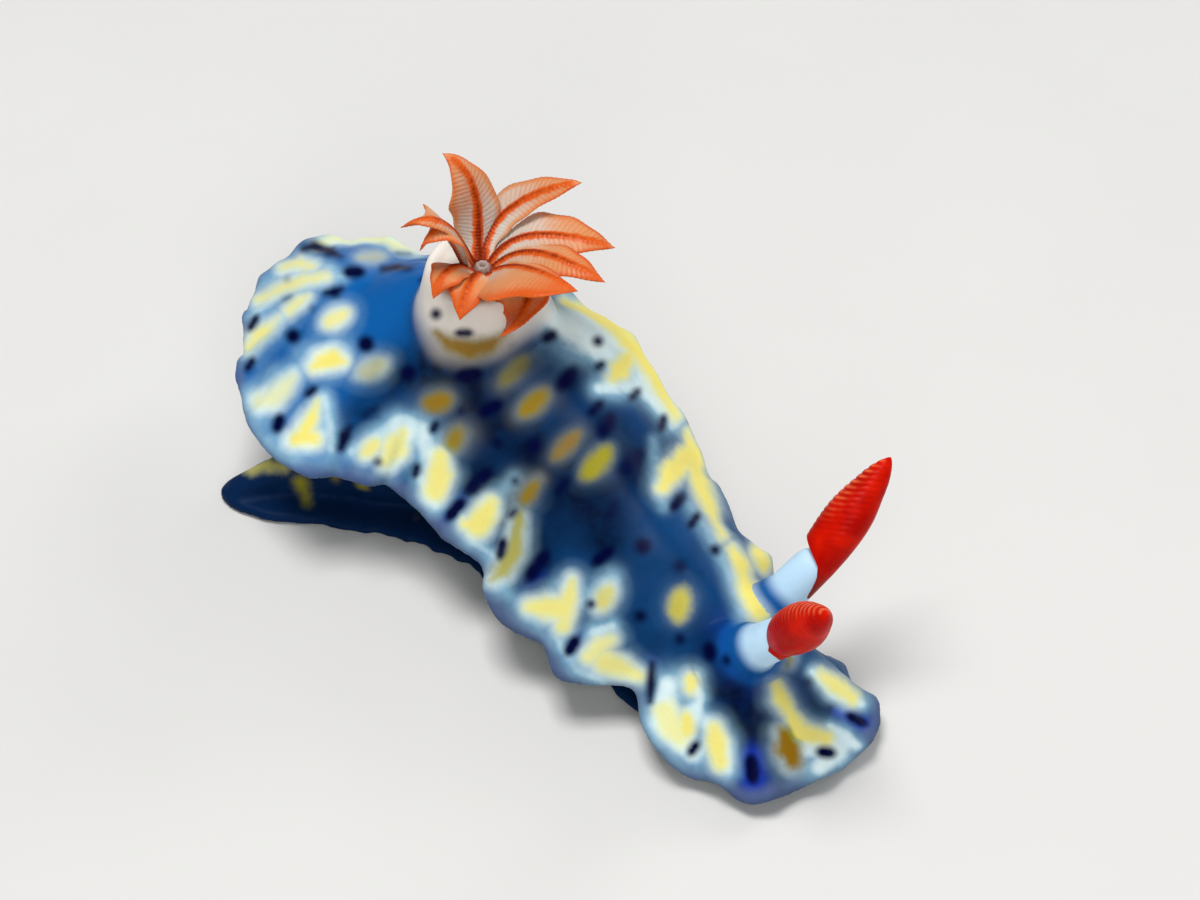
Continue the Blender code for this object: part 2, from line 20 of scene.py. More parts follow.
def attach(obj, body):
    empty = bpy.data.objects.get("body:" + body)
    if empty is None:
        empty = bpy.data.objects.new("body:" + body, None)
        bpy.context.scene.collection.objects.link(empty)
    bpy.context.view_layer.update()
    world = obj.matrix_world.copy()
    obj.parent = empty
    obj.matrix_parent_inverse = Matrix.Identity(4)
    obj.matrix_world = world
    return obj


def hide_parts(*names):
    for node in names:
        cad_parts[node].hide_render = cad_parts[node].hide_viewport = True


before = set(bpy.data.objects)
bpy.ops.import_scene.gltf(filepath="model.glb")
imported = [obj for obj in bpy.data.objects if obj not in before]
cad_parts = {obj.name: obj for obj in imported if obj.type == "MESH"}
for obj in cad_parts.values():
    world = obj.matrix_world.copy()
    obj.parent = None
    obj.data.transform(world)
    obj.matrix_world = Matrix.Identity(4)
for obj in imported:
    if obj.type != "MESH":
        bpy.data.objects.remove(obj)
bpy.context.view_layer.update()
MM = 0.001
# The middle of the model's box in the drawing, in millimetres; it is moved over the origin
BOX_MIDDLE = (-0.739, 1.28)

# %% [markdown]
# Two habits make operators safe in a script. Everything is deselected before a new primitive is
# added, because an operator acts on all that is selected, and a piece is made the only selected and
# active one before its modifiers are applied. A finished piece is moved in its mesh, so that its
# origin stays at the origin of the scene.

# %% Helpers for selecting and finishing pieces
def deselect_all():
    """Leave edit mode and let go of everything."""
    if bpy.context.object and bpy.context.object.mode != "OBJECT":
        bpy.ops.object.mode_set(mode="OBJECT")
    bpy.ops.object.select_all(action="DESELECT")


def pick(*pieces):
    """Select these pieces alone and make the first of them the active one."""
    deselect_all()
    for piece in pieces:
        piece.select_set(True)
    bpy.context.view_layer.objects.active = pieces[0]


def apply_modifiers(piece):
    """Apply every modifier of a piece, in order."""
    pick(piece)
    for modifier in list(piece.modifiers):
        bpy.ops.object.modifier_apply(modifier=modifier.name)


def corners(piece):
    """The piece's vertices as rows of x, y and z."""
    places = np.empty(len(piece.data.vertices) * 3)
    piece.data.vertices.foreach_get("co", places)
    return places.reshape(-1, 3)


def move_corners(piece, places):
    """Put the piece's vertices at new places."""
    piece.data.vertices.foreach_set("co", np.ascontiguousarray(places).ravel())
    piece.data.update()


def finish_piece(piece):
    """Shade a piece smooth, centre its box and turn its millimetres into metres."""
    pick(piece)
    bpy.ops.object.shade_smooth()
    piece.data.transform(Matrix.Translation((-BOX_MIDDLE[0], -BOX_MIDDLE[1], 0.0)))
    piece.data.transform(Matrix.Scale(MM, 4))
    piece.data.update()

# %% [markdown]
# ## The camera
#
# The photograph looks down on the slug from its right and front. The camera comes first, because
# the markings are placed by looking through it. A long lens far away keeps the shape nearly free of
# perspective, as in the photograph.

# %% Set up the camera
PHOTO_SIZE = (1200, 900)
CAMERA_TURN = math.radians(40)
CAMERA_RISE = math.radians(45)
CAMERA_AIM = Vector((0.009, 2.61, 4.0)) * MM
CAMERA_AWAY = 150 * MM
CAMERA_LENS = 117
SENSOR_WIDTH = 36

away = Vector((math.sin(CAMERA_TURN) * math.cos(CAMERA_RISE),
               -math.cos(CAMERA_TURN) * math.cos(CAMERA_RISE),
               math.sin(CAMERA_RISE)))
camera_turn = (-away).to_track_quat("-Z", "Y")
deselect_all()
bpy.ops.object.camera_add(location=CAMERA_AIM + away * CAMERA_AWAY, rotation=camera_turn.to_euler())
camera = bpy.context.object
camera.name = "photo_camera"
camera.data.lens = CAMERA_LENS
camera.data.sensor_width = SENSOR_WIDTH
camera.data.clip_start = 0.01
camera.data.clip_end = 5
bpy.context.scene.camera = camera

EYE = camera.location.copy()
RIGHT = camera_turn @ Vector((1, 0, 0))
UP = camera_turn @ Vector((0, 1, 0))
FOCAL = CAMERA_LENS / SENSOR_WIDTH * PHOTO_SIZE[0]
MIDDLE_X, MIDDLE_Y = PHOTO_SIZE[0] / 2, PHOTO_SIZE[1] / 2


def sight_line(x, y):
    """The direction from the camera through a pixel of the photograph."""
    line = -away * FOCAL + RIGHT * (x - MIDDLE_X) - UP * (y - MIDDLE_Y)
    return line.normalized()


def on_picture(places):
    """The pixels of the photograph where places in metres appear."""
    offset = places - np.array(EYE)
    depth = offset @ -np.array(away)
    x = MIDDLE_X + FOCAL * (offset @ np.array(RIGHT)) / depth
    y = MIDDLE_Y - FOCAL * (offset @ np.array(UP)) / depth
    return np.stack((x, y), axis=1)


print("camera at", [round(value, 4) for value in EYE])

# %% [markdown]
# ## The course of the body
#
# A slug's mantle has no straight line in it, so its shape is told by a few curves: the course of
# the back seen from above, the height of its crest, how far the rim reaches out on each side, and
# how high the rim hangs. A place round the rim runs from 0 to 4: along the right side from rear to
# front, round the head, back along the left side, and round the rear. A share runs from 0 on the
# core line of the back to 1 on the rim.

# %% Curves through a few points
CORE_REAR = -10.5
CORE_FRONT = 10.2
CORE_LENGTH = CORE_FRONT - CORE_REAR
PLACES_ROUND = 4.0
SPINE = ((-10.5, 1.3), (-8, 2.0), (-5.5, 2.4), (-2, 2.1), (0, 1.7), (4, 0.4), (8, -0.4), (10.2, -0.3))
CREST = ((-10.5, 8.4), (-8, 9.7), (-5.5, 10.2), (-2, 9.5), (2, 8.2), (6, 6.7), (10.2, 5.0))
REACH = ((0.0, 6.45), (0.03, 6.55), (0.09, 5.9), (0.15, 5.9), (0.23, 5.3), (0.36, 5.3), (0.44, 5.4),
         (0.55, 4.8), (0.62, 5.3), (0.66, 5.35), (0.72, 4.5), (0.79, 4.9), (0.86, 2.95), (0.9, 3.8),
         (0.97, 4.25), (1.08, 3.95), (1.2, 4.6), (1.34, 4.15), (1.5, 4.35), (1.64, 4.65), (1.8, 3.85),
         (1.93, 3.3), (2.08, 3.85), (2.15, 4.2), (2.2, 4.25), (2.27, 4.1), (2.45, 4.65), (2.6, 5.15),
         (2.69, 5.3), (2.8, 4.95), (2.95, 4.8), (3.1, 5.35), (3.16, 5.85), (3.28, 6.1), (3.43, 5.4),
         (3.6, 4.7), (3.75, 5.05), (3.9, 5.85), (4.0, 6.45))
RIM = ((0.0, 5.0), (0.15, 4.85), (0.3, 4.6), (0.45, 4.15), (0.6, 3.5), (0.75, 2.75), (0.86, 2.45),
       (0.93, 1.7), (1.0, 1.25), (1.2, 1.1), (1.8, 1.2), (2.0, 1.7), (2.1, 2.9), (2.2, 3.7), (2.35, 4.4),
       (2.5, 5.3), (2.62, 6.5), (2.8, 6.95), (2.95, 6.5), (3.1, 6.2), (3.3, 5.8), (3.5, 5.75), (3.8, 5.2),
       (4.0, 5.0))
CORE_THICK = ((-10.5, 2.2), (-5, 3.0), (4, 2.7), (10.2, 1.9))
RIM_THICK = 0.5


def through(points, x):
    """Heights at x of a smooth curve through the points, with no overshoot between them."""
    xs, ys = np.array(points, float).T
    steps = np.diff(xs)
    slopes = np.diff(ys) / steps
    before = 2 * steps[1:] + steps[:-1]
    after = steps[1:] + 2 * steps[:-1]
    product = slopes[:-1] * slopes[1:]
    divisor = np.where(product > 0, before * slopes[1:] + after * slopes[:-1], 1.0)
    inner = np.where(product > 0, (before + after) * product / divisor, 0.0)
    tangents = np.concatenate((slopes[:1], inner, slopes[-1:]))
    x = np.clip(np.asarray(x, float), xs[0], xs[-1])
    i = np.clip(np.searchsorted(xs, x) - 1, 0, len(xs) - 2)
    t = (x - xs[i]) / steps[i]
    start = (2 * t**3 - 3 * t**2 + 1) * ys[i] + (t**3 - 2 * t**2 + t) * steps[i] * tangents[i]
    return start + (3 * t**2 - 2 * t**3) * ys[i + 1] + (t**3 - t**2) * steps[i] * tangents[i + 1]


def heading(points, x, reach=0.05):
    """The direction of a course at x, as an angle from the X axis."""
    return np.arctan2(through(points, x + reach) - through(points, x - reach), 2 * reach)


def spine_heading(station, inset=0.1):
    """The direction of the back's core line, which ends a little inside its last points."""
    return heading(SPINE, np.clip(station, CORE_REAR + inset, CORE_FRONT - inset))


def soft_step(low, high, value):
    """0 below low, 1 above high, and a smooth rise between them."""
    share = np.clip((value - low) / (high - low), 0.0, 1.0)
    return share * share * (3 - 2 * share)

# %% [markdown]
# The rim of the real mantle ripples where there is more skin than length. Three waves of different
# counts add up to a ripple that looks uneven, and it fades towards the middle of the back.

# %% The mantle as a surface told by place and share
RUFFLES = 26
SLOW_RUFFLES = 17
FINE_RUFFLES = 61
RUFFLE_HEIGHT = 0.22
FINE_RUFFLE_HEIGHT = 0.05
RUFFLE_REACH = 0.1
RUFFLE_POWER = 4.0
DOME_POWER = 1.8
FLARE = 0.15
FLARE_POWER = 8.0


def rim_frame(place):
    """The core point that each place belongs to, and the way out from it to the rim."""
    place = place % PLACES_ROUND
    side = np.floor(place)
    along = place - side
    sides = [side == 0, side == 1, side == 2]
    forwards, backwards = CORE_REAR + CORE_LENGTH * along, CORE_FRONT - CORE_LENGTH * along
    station = np.select(sides, [forwards, CORE_FRONT, backwards], CORE_REAR)
    turn = np.select(sides, [-0.5, along - 0.5, 0.5], along + 0.5)
    return station, spine_heading(station) + turn * math.pi


def ruffle(place):
    """A wave along the rim, from about -1 to 1, that isn't quite even."""
    turn = 2 * math.pi * place / PLACES_ROUND
    fine = FINE_RUFFLE_HEIGHT / RUFFLE_HEIGHT * np.sin(FINE_RUFFLES * turn + 1.3)
    return 0.7 * np.sin(RUFFLES * turn + 0.9) + 0.3 * np.sin(SLOW_RUFFLES * turn + 2.0) + fine


def mantle_points(place, share, depth=0.0, out=0.0):
    """Points of the mantle: depth 0 is its top and 1 its underside, and out is past the rim."""
    station, direction = rim_frame(place)
    place = place % PLACES_ROUND
    fold = ruffle(place) * share**RUFFLE_POWER
    reach = through(REACH, place) * share + RUFFLE_REACH * fold + out
    crest = through(CREST, station)
    drop = (1 + FLARE) * share**DOME_POWER - FLARE * share**FLARE_POWER
    thick = RIM_THICK + (through(CORE_THICK, station) - RIM_THICK) * (1 - share**2)
    z = crest + (through(RIM, place) - crest) * drop + RUFFLE_HEIGHT * fold - depth * thick
    x = station + reach * np.cos(direction)
    y = through(SPINE, station) + reach * np.sin(direction)
    return np.stack((x, y, z), axis=-1)


print("front of the rim:", mantle_points(1.5, 1.0).round(2), "mm")

# %% [markdown]
# The collar, the stalks and the markings need the way back: which place and share lie over a point
# of the floor. The station on the core line is corrected a few times until it lies straight inwards
# of the point.

# %% Find the back over points of the floor
SEARCH_STEPS = 12
GILL_CENTRE = (-5.2, 2.4)


def place_of(x, y):
    """The place and share of the mantle over points of the floor."""
    station = np.clip(x, CORE_REAR, CORE_FRONT)
    for _ in range(SEARCH_STEPS):
        turn = spine_heading(station)
        along = (x - station) * np.cos(turn) + (y - through(SPINE, station)) * np.sin(turn)
        station = np.clip(station + along, CORE_REAR, CORE_FRONT)
    away_x = x - station
    away_y = y - through(SPINE, station)
    angle = (np.arctan2(away_y, away_x) - spine_heading(station) + math.pi) % (2 * math.pi) / math.pi - 1
    round_head = (station >= CORE_FRONT) & (np.abs(angle) < 0.5)
    round_rear = (station <= CORE_REAR) & (np.abs(angle) > 0.5)
    rear_place = 2.5 + np.where(angle > 0, angle, angle + 2)
    side_place = np.where(angle < 0, (station - CORE_REAR) / CORE_LENGTH,
                          2 + (CORE_FRONT - station) / CORE_LENGTH)
    place = np.where(round_head, 1.5 + angle, np.where(round_rear, rear_place, side_place))
    return place, np.hypot(away_x, away_y) / through(REACH, place % PLACES_ROUND)


def back_height(x, y, depth=0.0):
    """The height of the mantle's top over points of the floor, or of its underside at depth 1."""
    place, share = place_of(np.asarray(x, float), np.asarray(y, float))
    return mantle_points(place, np.minimum(share, 1.0), depth)[..., 2]


def on_back(base):
    """A point of the floor lifted onto the back."""
    return np.array((*base, float(back_height(*base))))


gill_base = on_back(GILL_CENTRE)[2]
print("back under the gills:", gill_base.round(2), "mm high")

# %% [markdown]
# ## The mantle
#
# The mantle could be sculpted, but its ripples follow a rule, so a plain grid does it best: one
# direction of the grid runs round the rim, and the other goes from the core line over the top, round
# the edge and back below. Each corner of the grid is then moved to the place that the curves give
# it. Merging the corners that meet on the core line closes the shape.

# %% Shape the mantle from a grid
def store(piece, name, values):
    """Keep one number for each corner of a piece, for its material to read."""
    layer = piece.data.attributes.new(name, "FLOAT", "POINT")
    layer.data.foreach_set("value", np.ascontiguousarray(values, dtype=np.float32))


def grid_piece(name, places, tags=None):
    """A primitive grid whose corners are moved to the given rows and columns of places."""
    rows, columns = places.shape[0] - 1, places.shape[1] - 1
    deselect_all()
    bpy.ops.mesh.primitive_grid_add(x_subdivisions=columns, y_subdivisions=rows, size=2)
    piece = bpy.context.object
    piece.name = name
    flat = corners(piece)
    column = np.rint((flat[:, 0] + 1) / 2 * columns).astype(int)
    row = np.rint((flat[:, 1] + 1) / 2 * rows).astype(int)
    move_corners(piece, places[row, column])
    for tag, values in (tags or {}).items():
        store(piece, tag, np.broadcast_to(values, places.shape[:2])[row, column])
    return piece


COARSE_MERGE = 0.002
FINE_MERGE = 0.0005


def close_up(piece, near=COARSE_MERGE):
    """Merge the corners that meet, fill the ends and turn every face outwards."""
    pick(piece)
    bpy.ops.object.mode_set(mode="EDIT")
    bpy.ops.mesh.select_all(action="SELECT")
    bpy.ops.mesh.remove_doubles(threshold=near)
    bpy.ops.mesh.fill_holes(sides=0)
    bpy.ops.mesh.select_all(action="SELECT")
    bpy.ops.mesh.normals_make_consistent(inside=False)
    bpy.ops.object.mode_set(mode="OBJECT")


ROUND_STEPS = 560
TOP_STEPS = 36
EDGE_STEPS = 6
RIM_ROUND = 0.18

top_shares = np.linspace(0, 1, TOP_STEPS + 1)
edge_turns = np.linspace(math.pi / 2, -math.pi / 2, EDGE_STEPS + 1)[1:-1]
shares = np.concatenate((top_shares, np.ones(EDGE_STEPS - 1), top_shares[::-1]))
depths = np.concatenate((np.zeros(TOP_STEPS + 1), 0.5 - 0.5 * np.sin(edge_turns), np.ones(TOP_STEPS + 1)))
outs = np.concatenate((np.zeros(TOP_STEPS + 1), RIM_ROUND * np.cos(edge_turns), np.zeros(TOP_STEPS + 1)))
places_round = np.linspace(0, PLACES_ROUND, ROUND_STEPS + 1)
mantle_rows = (part[:, None] for part in (shares, depths, outs))
mantle = grid_piece("mantle_blank", mantle_points(places_round[None, :], *mantle_rows))
close_up(mantle)
print("mantle blank:", len(mantle.data.vertices), "corners")

# %% [markdown]
# ## The foot, the flanks and the tail
#
# Below the mantle the body is a soft wedge on a flat, thin-edged sole, and the tail bends out behind
# it. Each is a tube of rings along the foot's course. The rings of the flanks run up into the
# mantle, so that the two join when the blanks become one skin.

# %% Rings along the foot
FOOT_LINE = ((-13.2, -4.9), (-11.8, -3.5), (-10.4, -1.8), (-8.8, -0.1), (-6.5, 1.4), (-4, 2.1), (0, 1.6),
             (4, 0.4), (8, -0.4), (12.6, -0.3))
FOOT_HALF_WIDTH = ((-13, 0.15), (-12.7, 0.75), (-12.2, 1.2), (-11, 2.0), (-8.8, 3.0), (-5, 3.5), (0, 3.2),
                   (5, 2.7), (9, 2.4), (10.6, 1.9), (11.3, 1.0), (11.5, 0.3))
FOOT_EDGE = 0.5
FLANK_HALF_WIDTH = ((-11.5, 0.6), (-10.4, 1.2), (-8.5, 2.6), (-5, 3.2), (0, 3.0), (4.5, 2.6), (7.5, 1.9),
                    (9.5, 1.6), (11.5, 1.1))
TAIL_KEEL = ((-13.0, 0.5), (-12.0, 1.4), (-10.6, 2.6), (-8.8, 4.2))
INTO_MANTLE = 0.9
RING_SIDES = 48
SOLE_RUN, SOLE_RINGS, SOLE_CORNERS = (-13.0, 11.5), 90, 0.6
TRUNK_RUN, TRUNK_RINGS, TRUNK_CORNERS = (-12.8, 11.2), 80, 0.75
TRUNK_FLOOR = 0.15
SNOUT_TOP = 1.5


def beside_foot(station, across, z):
    """Points at a distance across the foot's course."""
    turn = heading(FOOT_LINE, station)
    x = station - across * np.sin(turn)
    y = through(FOOT_LINE, station) + across * np.cos(turn)
    return np.stack(np.broadcast_arrays(x, y, z), axis=-1)


def squared(turn, power):
    """The cosine and sine of a turn, pushed out towards the corners of a square."""
    cosine, sine = np.cos(turn), np.sin(turn)
    return np.sign(cosine) * np.abs(cosine) ** power, np.sign(sine) * np.abs(sine) ** power


ring_turns = np.linspace(0, 2 * math.pi, RING_SIDES + 1)[None, :]
sole_stations = np.linspace(*SOLE_RUN, SOLE_RINGS)[:, None]
wide, high = squared(ring_turns, SOLE_CORNERS)
ripple = 1 + 0.03 * np.sin(sole_stations * 3.1) + 0.02 * np.sin(sole_stations * 7.3)
sole_width = through(FOOT_HALF_WIDTH, sole_stations) * ripple
sole_height = FOOT_EDGE * np.clip(0.5 + 0.62 * high, 0, 1)
sole = grid_piece("sole_blank", beside_foot(sole_stations, sole_width * wide, sole_height))
close_up(sole)

trunk_stations = np.linspace(*TRUNK_RUN, TRUNK_RINGS)[:, None]
wide, high = squared(ring_turns, TRUNK_CORNERS)
trunk_width = np.minimum(through(FLANK_HALF_WIDTH, trunk_stations),
                         through(FOOT_HALF_WIDTH, trunk_stations) * 0.8)
middle = beside_foot(trunk_stations, 0.0 * trunk_stations, 0.0)
under_back = back_height(middle[..., 0], middle[..., 1], 1.0) + INTO_MANTLE
behind = soft_step(-9.4, -11.2, trunk_stations)
trunk_top = under_back * (1 - behind) + through(TAIL_KEEL, trunk_stations) * behind
snout = soft_step(11.3, 8.6, trunk_stations)
trunk_top = SNOUT_TOP + (trunk_top - SNOUT_TOP) * snout
waist = 1 - 0.1 * np.sin(np.pi * np.clip(0.5 + 0.5 * high, 0, 1))
trunk_height = TRUNK_FLOOR + (trunk_top - TRUNK_FLOOR) * (0.5 + 0.5 * high)
trunk = grid_piece("trunk_blank", beside_foot(trunk_stations, trunk_width * wide * waist, trunk_height))
close_up(trunk)
print("sole and trunk blanks:", len(sole.data.vertices), len(trunk.data.vertices), "corners")

# %% [markdown]
# ## The head
#
# The head lies under the front of the mantle, low over the ground, with a round mouth between two
# short feelers. A sphere turned so that a pole looks forward gives rings of faces round the mouth:
# the cap of faces at that pole is pushed out for the lips, then in for the mouth.

# %% Shape the head, its lips and its feelers
HEAD_CENTRE = (10.9, -0.35, 1.95)
HEAD_SIZE = (0.95, 1.95, 1.75)
HEAD_WAY = (1.0, 0.0, -0.25)
LIP_CAP = 0.93
LIP_STEPS = ((0.09, 1.1), (0.05, 0.75), (-0.28, 0.6), (-0.2, 0.7))
FEELER_BASE = (12.0, 0.95, 0.95)
FEELER_LEAN = (0.5, 0.3, -0.8)
FEELER_SIZE = (0.33, 0.33, 0.62)


def place_piece(piece, centre, direction=(0, 0, 1), size=(1, 1, 1)):
    """Scale a piece, point its Z axis along a direction, move it, and apply all three."""
    turn = Vector(direction).to_track_quat("Z", "Y").to_matrix().to_4x4()
    piece.matrix_world = Matrix.Translation(centre) @ turn @ Matrix.Diagonal((*size, 1.0))
    pick(piece)
    bpy.ops.object.transform_apply(location=True, rotation=True, scale=True)


def add_ball(name, segments, rings):
    """A ball of radius 1 with rings of faces from pole to pole."""
    deselect_all()
    bpy.ops.mesh.primitive_uv_sphere_add(segments=segments, ring_count=rings, radius=1)
    ball = bpy.context.object
    ball.name = name
    return ball


head = add_ball("head_blank", segments=36, rings=24)
bpy.ops.object.mode_set(mode="EDIT")
bpy.ops.mesh.select_all(action="DESELECT")
bpy.ops.object.mode_set(mode="OBJECT")
for face in head.data.polygons:
    face.select = face.center.z > LIP_CAP
bpy.ops.object.mode_set(mode="EDIT")
bpy.ops.mesh.select_mode(type="FACE")
for lift, grow in LIP_STEPS:
    bpy.ops.mesh.extrude_region_move(TRANSFORM_OT_translate={"value": (0, 0, lift)})
    bpy.ops.transform.resize(value=(grow, grow, 1))
bpy.ops.object.mode_set(mode="OBJECT")
place_piece(head, HEAD_CENTRE, HEAD_WAY, HEAD_SIZE)
close_up(head)

feelers = []
for side in (-1, 1):
    feeler = add_ball("feeler_blank", segments=24, rings=16)
    root = beside_foot(np.array(FEELER_BASE[0]), side * FEELER_BASE[1], FEELER_BASE[2])
    lean = (FEELER_LEAN[0], side * FEELER_LEAN[1], FEELER_LEAN[2])
    place_piece(feeler, Vector(root), lean, FEELER_SIZE)
    feelers.append(feeler)
print("head and", len(feelers), "feelers shaped")

# %% [markdown]
# ## The gill collar and the stalks of the rhinophores
#
# Both are round, so each grows from a disc that is extruded upwards one ring at a time, and every new
# ring is scaled to its radius. The collar's foot is then let down onto the curved back, so that its
# wall is taller down the side, as in the photograph. Each stalk is pointed the way it leans.

# %% Grow the collar and the stalks ring by ring
def grow_round(name, profile, sides):
    """A round piece that grows up from a disc through rings of radius and height."""
    radius, height = profile[0]
    deselect_all()
    bpy.ops.mesh.primitive_circle_add(vertices=sides, radius=radius, fill_type="NGON",
                                      location=(0, 0, height))
    piece = bpy.context.object
    piece.name = name
    bpy.ops.object.mode_set(mode="EDIT")
    bpy.ops.mesh.select_all(action="SELECT")
    for (near, low), (far, top) in zip(profile, profile[1:]):
        bpy.ops.mesh.extrude_region_move(TRANSFORM_OT_translate={"value": (0, 0, top - low)})
        bpy.ops.transform.resize(value=(far / near, far / near, 1))
    bpy.ops.object.mode_set(mode="OBJECT")
    pick(piece)
    bpy.ops.object.transform_apply(location=True, rotation=True, scale=True)
    return piece


COLLAR_PROFILE = ((3.3, -0.6), (2.95, -0.25), (2.66, 0.05), (2.46, 0.45), (2.34, 0.95), (2.25, 1.4),
                  (2.14, 1.72), (2.0, 1.85), (1.84, 1.8), (1.66, 1.62), (1.3, 1.5), (0.6, 1.45))
COLLAR_LEVEL = (3.2, 2.1)
# Each rhinophore: its place on the floor plan, the way its stalk leans and the way its club leans
RHINOPHORES = {"right": ((10.4, -1.25), (0.64, 0.09, 0.76), (0.54, -0.25, 0.8)),
               "left": ((9.65, 1.15), (0.33, 0.62, 0.71), (0.16, 0.68, 0.72))}
STALK_PROFILE = ((1.5, -1.3), (1.42, -0.5), (1.26, 0.0), (1.1, 0.35), (0.99, 0.65), (0.94, 0.88),
                 (0.89, 0.98), (0.83, 0.97), (0.8, 1.1), (0.79, 1.5), (0.77, 2.0), (0.72, 2.6), (0.5, 2.9),
                 (0.25, 3.0))

collar = grow_round("collar_blank", COLLAR_PROFILE, sides=96)
places = corners(collar)
radii = np.hypot(places[:, 0], places[:, 1])
places[:, :2] += GILL_CENTRE
level = soft_step(COLLAR_LEVEL[0], COLLAR_LEVEL[1], radii)
places[:, 2] += gill_base * level + back_height(places[:, 0], places[:, 1]) * (1 - level)
move_corners(collar, places)
close_up(collar)

stalks = []
for side, (base, lean, club_lean) in RHINOPHORES.items():
    stalk = grow_round("stalk_blank_" + side, STALK_PROFILE, sides=48)
    place_piece(stalk, Vector(on_back(base)), lean)
    close_up(stalk)
    stalks.append(stalk)
print("collar and", len(stalks), "stalks grown")

# %% [markdown]
# ## One skin
#
# On the living animal no seam shows between mantle, collar, stalks and foot. A voxel remesh makes one
# even, closed skin round all the blanks at once, and a little smoothing rounds the corners where
# they met. Its voxels are finer than the thinnest part of the rim.

# %% Join the blanks and remesh them into one skin
SKIN_VOXEL = 0.118
SKIN_SMOOTHING = 8
SOLE_LEVEL = 0.05
PILLOW_SIZE = 1.9
PILLOW_HEIGHT = 0.13

pick(mantle, sole, trunk, head, *feelers, collar, *stalks)
bpy.ops.object.join()
skin = bpy.context.object
skin.name = "skin"
skin.data.name = "skin"
skin.modifiers.new("one_skin", "REMESH").mode = "VOXEL"
skin.modifiers["one_skin"].voxel_size = SKIN_VOXEL
skin.modifiers.new("soften", "SMOOTH").factor = 0.5
skin.modifiers["soften"].iterations = SKIN_SMOOTHING
apply_modifiers(skin)
places = corners(skin)
print("skin:", len(skin.data.polygons), "faces over", np.ptp(places, axis=0).round(2), "mm")

# %% [markdown]
# Real skin is never as even as a formula. A cloud texture swells the back a little here and there.
# A vertex group keeps the swelling off the sole and thin rim, and the sole is pressed flat at the
# end.

# %% Swell the back a little and flatten the sole
place, share = place_of(places[:, 0], places[:, 1])
top_height = mantle_points(place, np.minimum(share, 1.0))[:, 2]
swelling = soft_step(1.2, 0.3, top_height - places[:, 2]) * soft_step(1.0, 0.75, share)
group = skin.vertex_groups.new(name="back")
for i in np.flatnonzero(swelling > 0.02):
    group.add([int(i)], float(swelling[i]), "REPLACE")
clouds = bpy.data.textures.new("pillows", "CLOUDS")
clouds.noise_scale = PILLOW_SIZE
clouds.noise_depth = 1
skin.modifiers.new("pillows", "DISPLACE").texture = clouds
skin.modifiers["pillows"].strength = PILLOW_HEIGHT
skin.modifiers["pillows"].mid_level = 0.5
skin.modifiers["pillows"].vertex_group = "back"
apply_modifiers(skin)
places = corners(skin)
places[:, 2] = np.where(places[:, 2] < SOLE_LEVEL, 0.0, places[:, 2])
move_corners(skin, places)
skin.vertex_groups.clear()
finish_piece(skin)
print("the sole lies at", corners(skin)[:, 2].min(), "m")
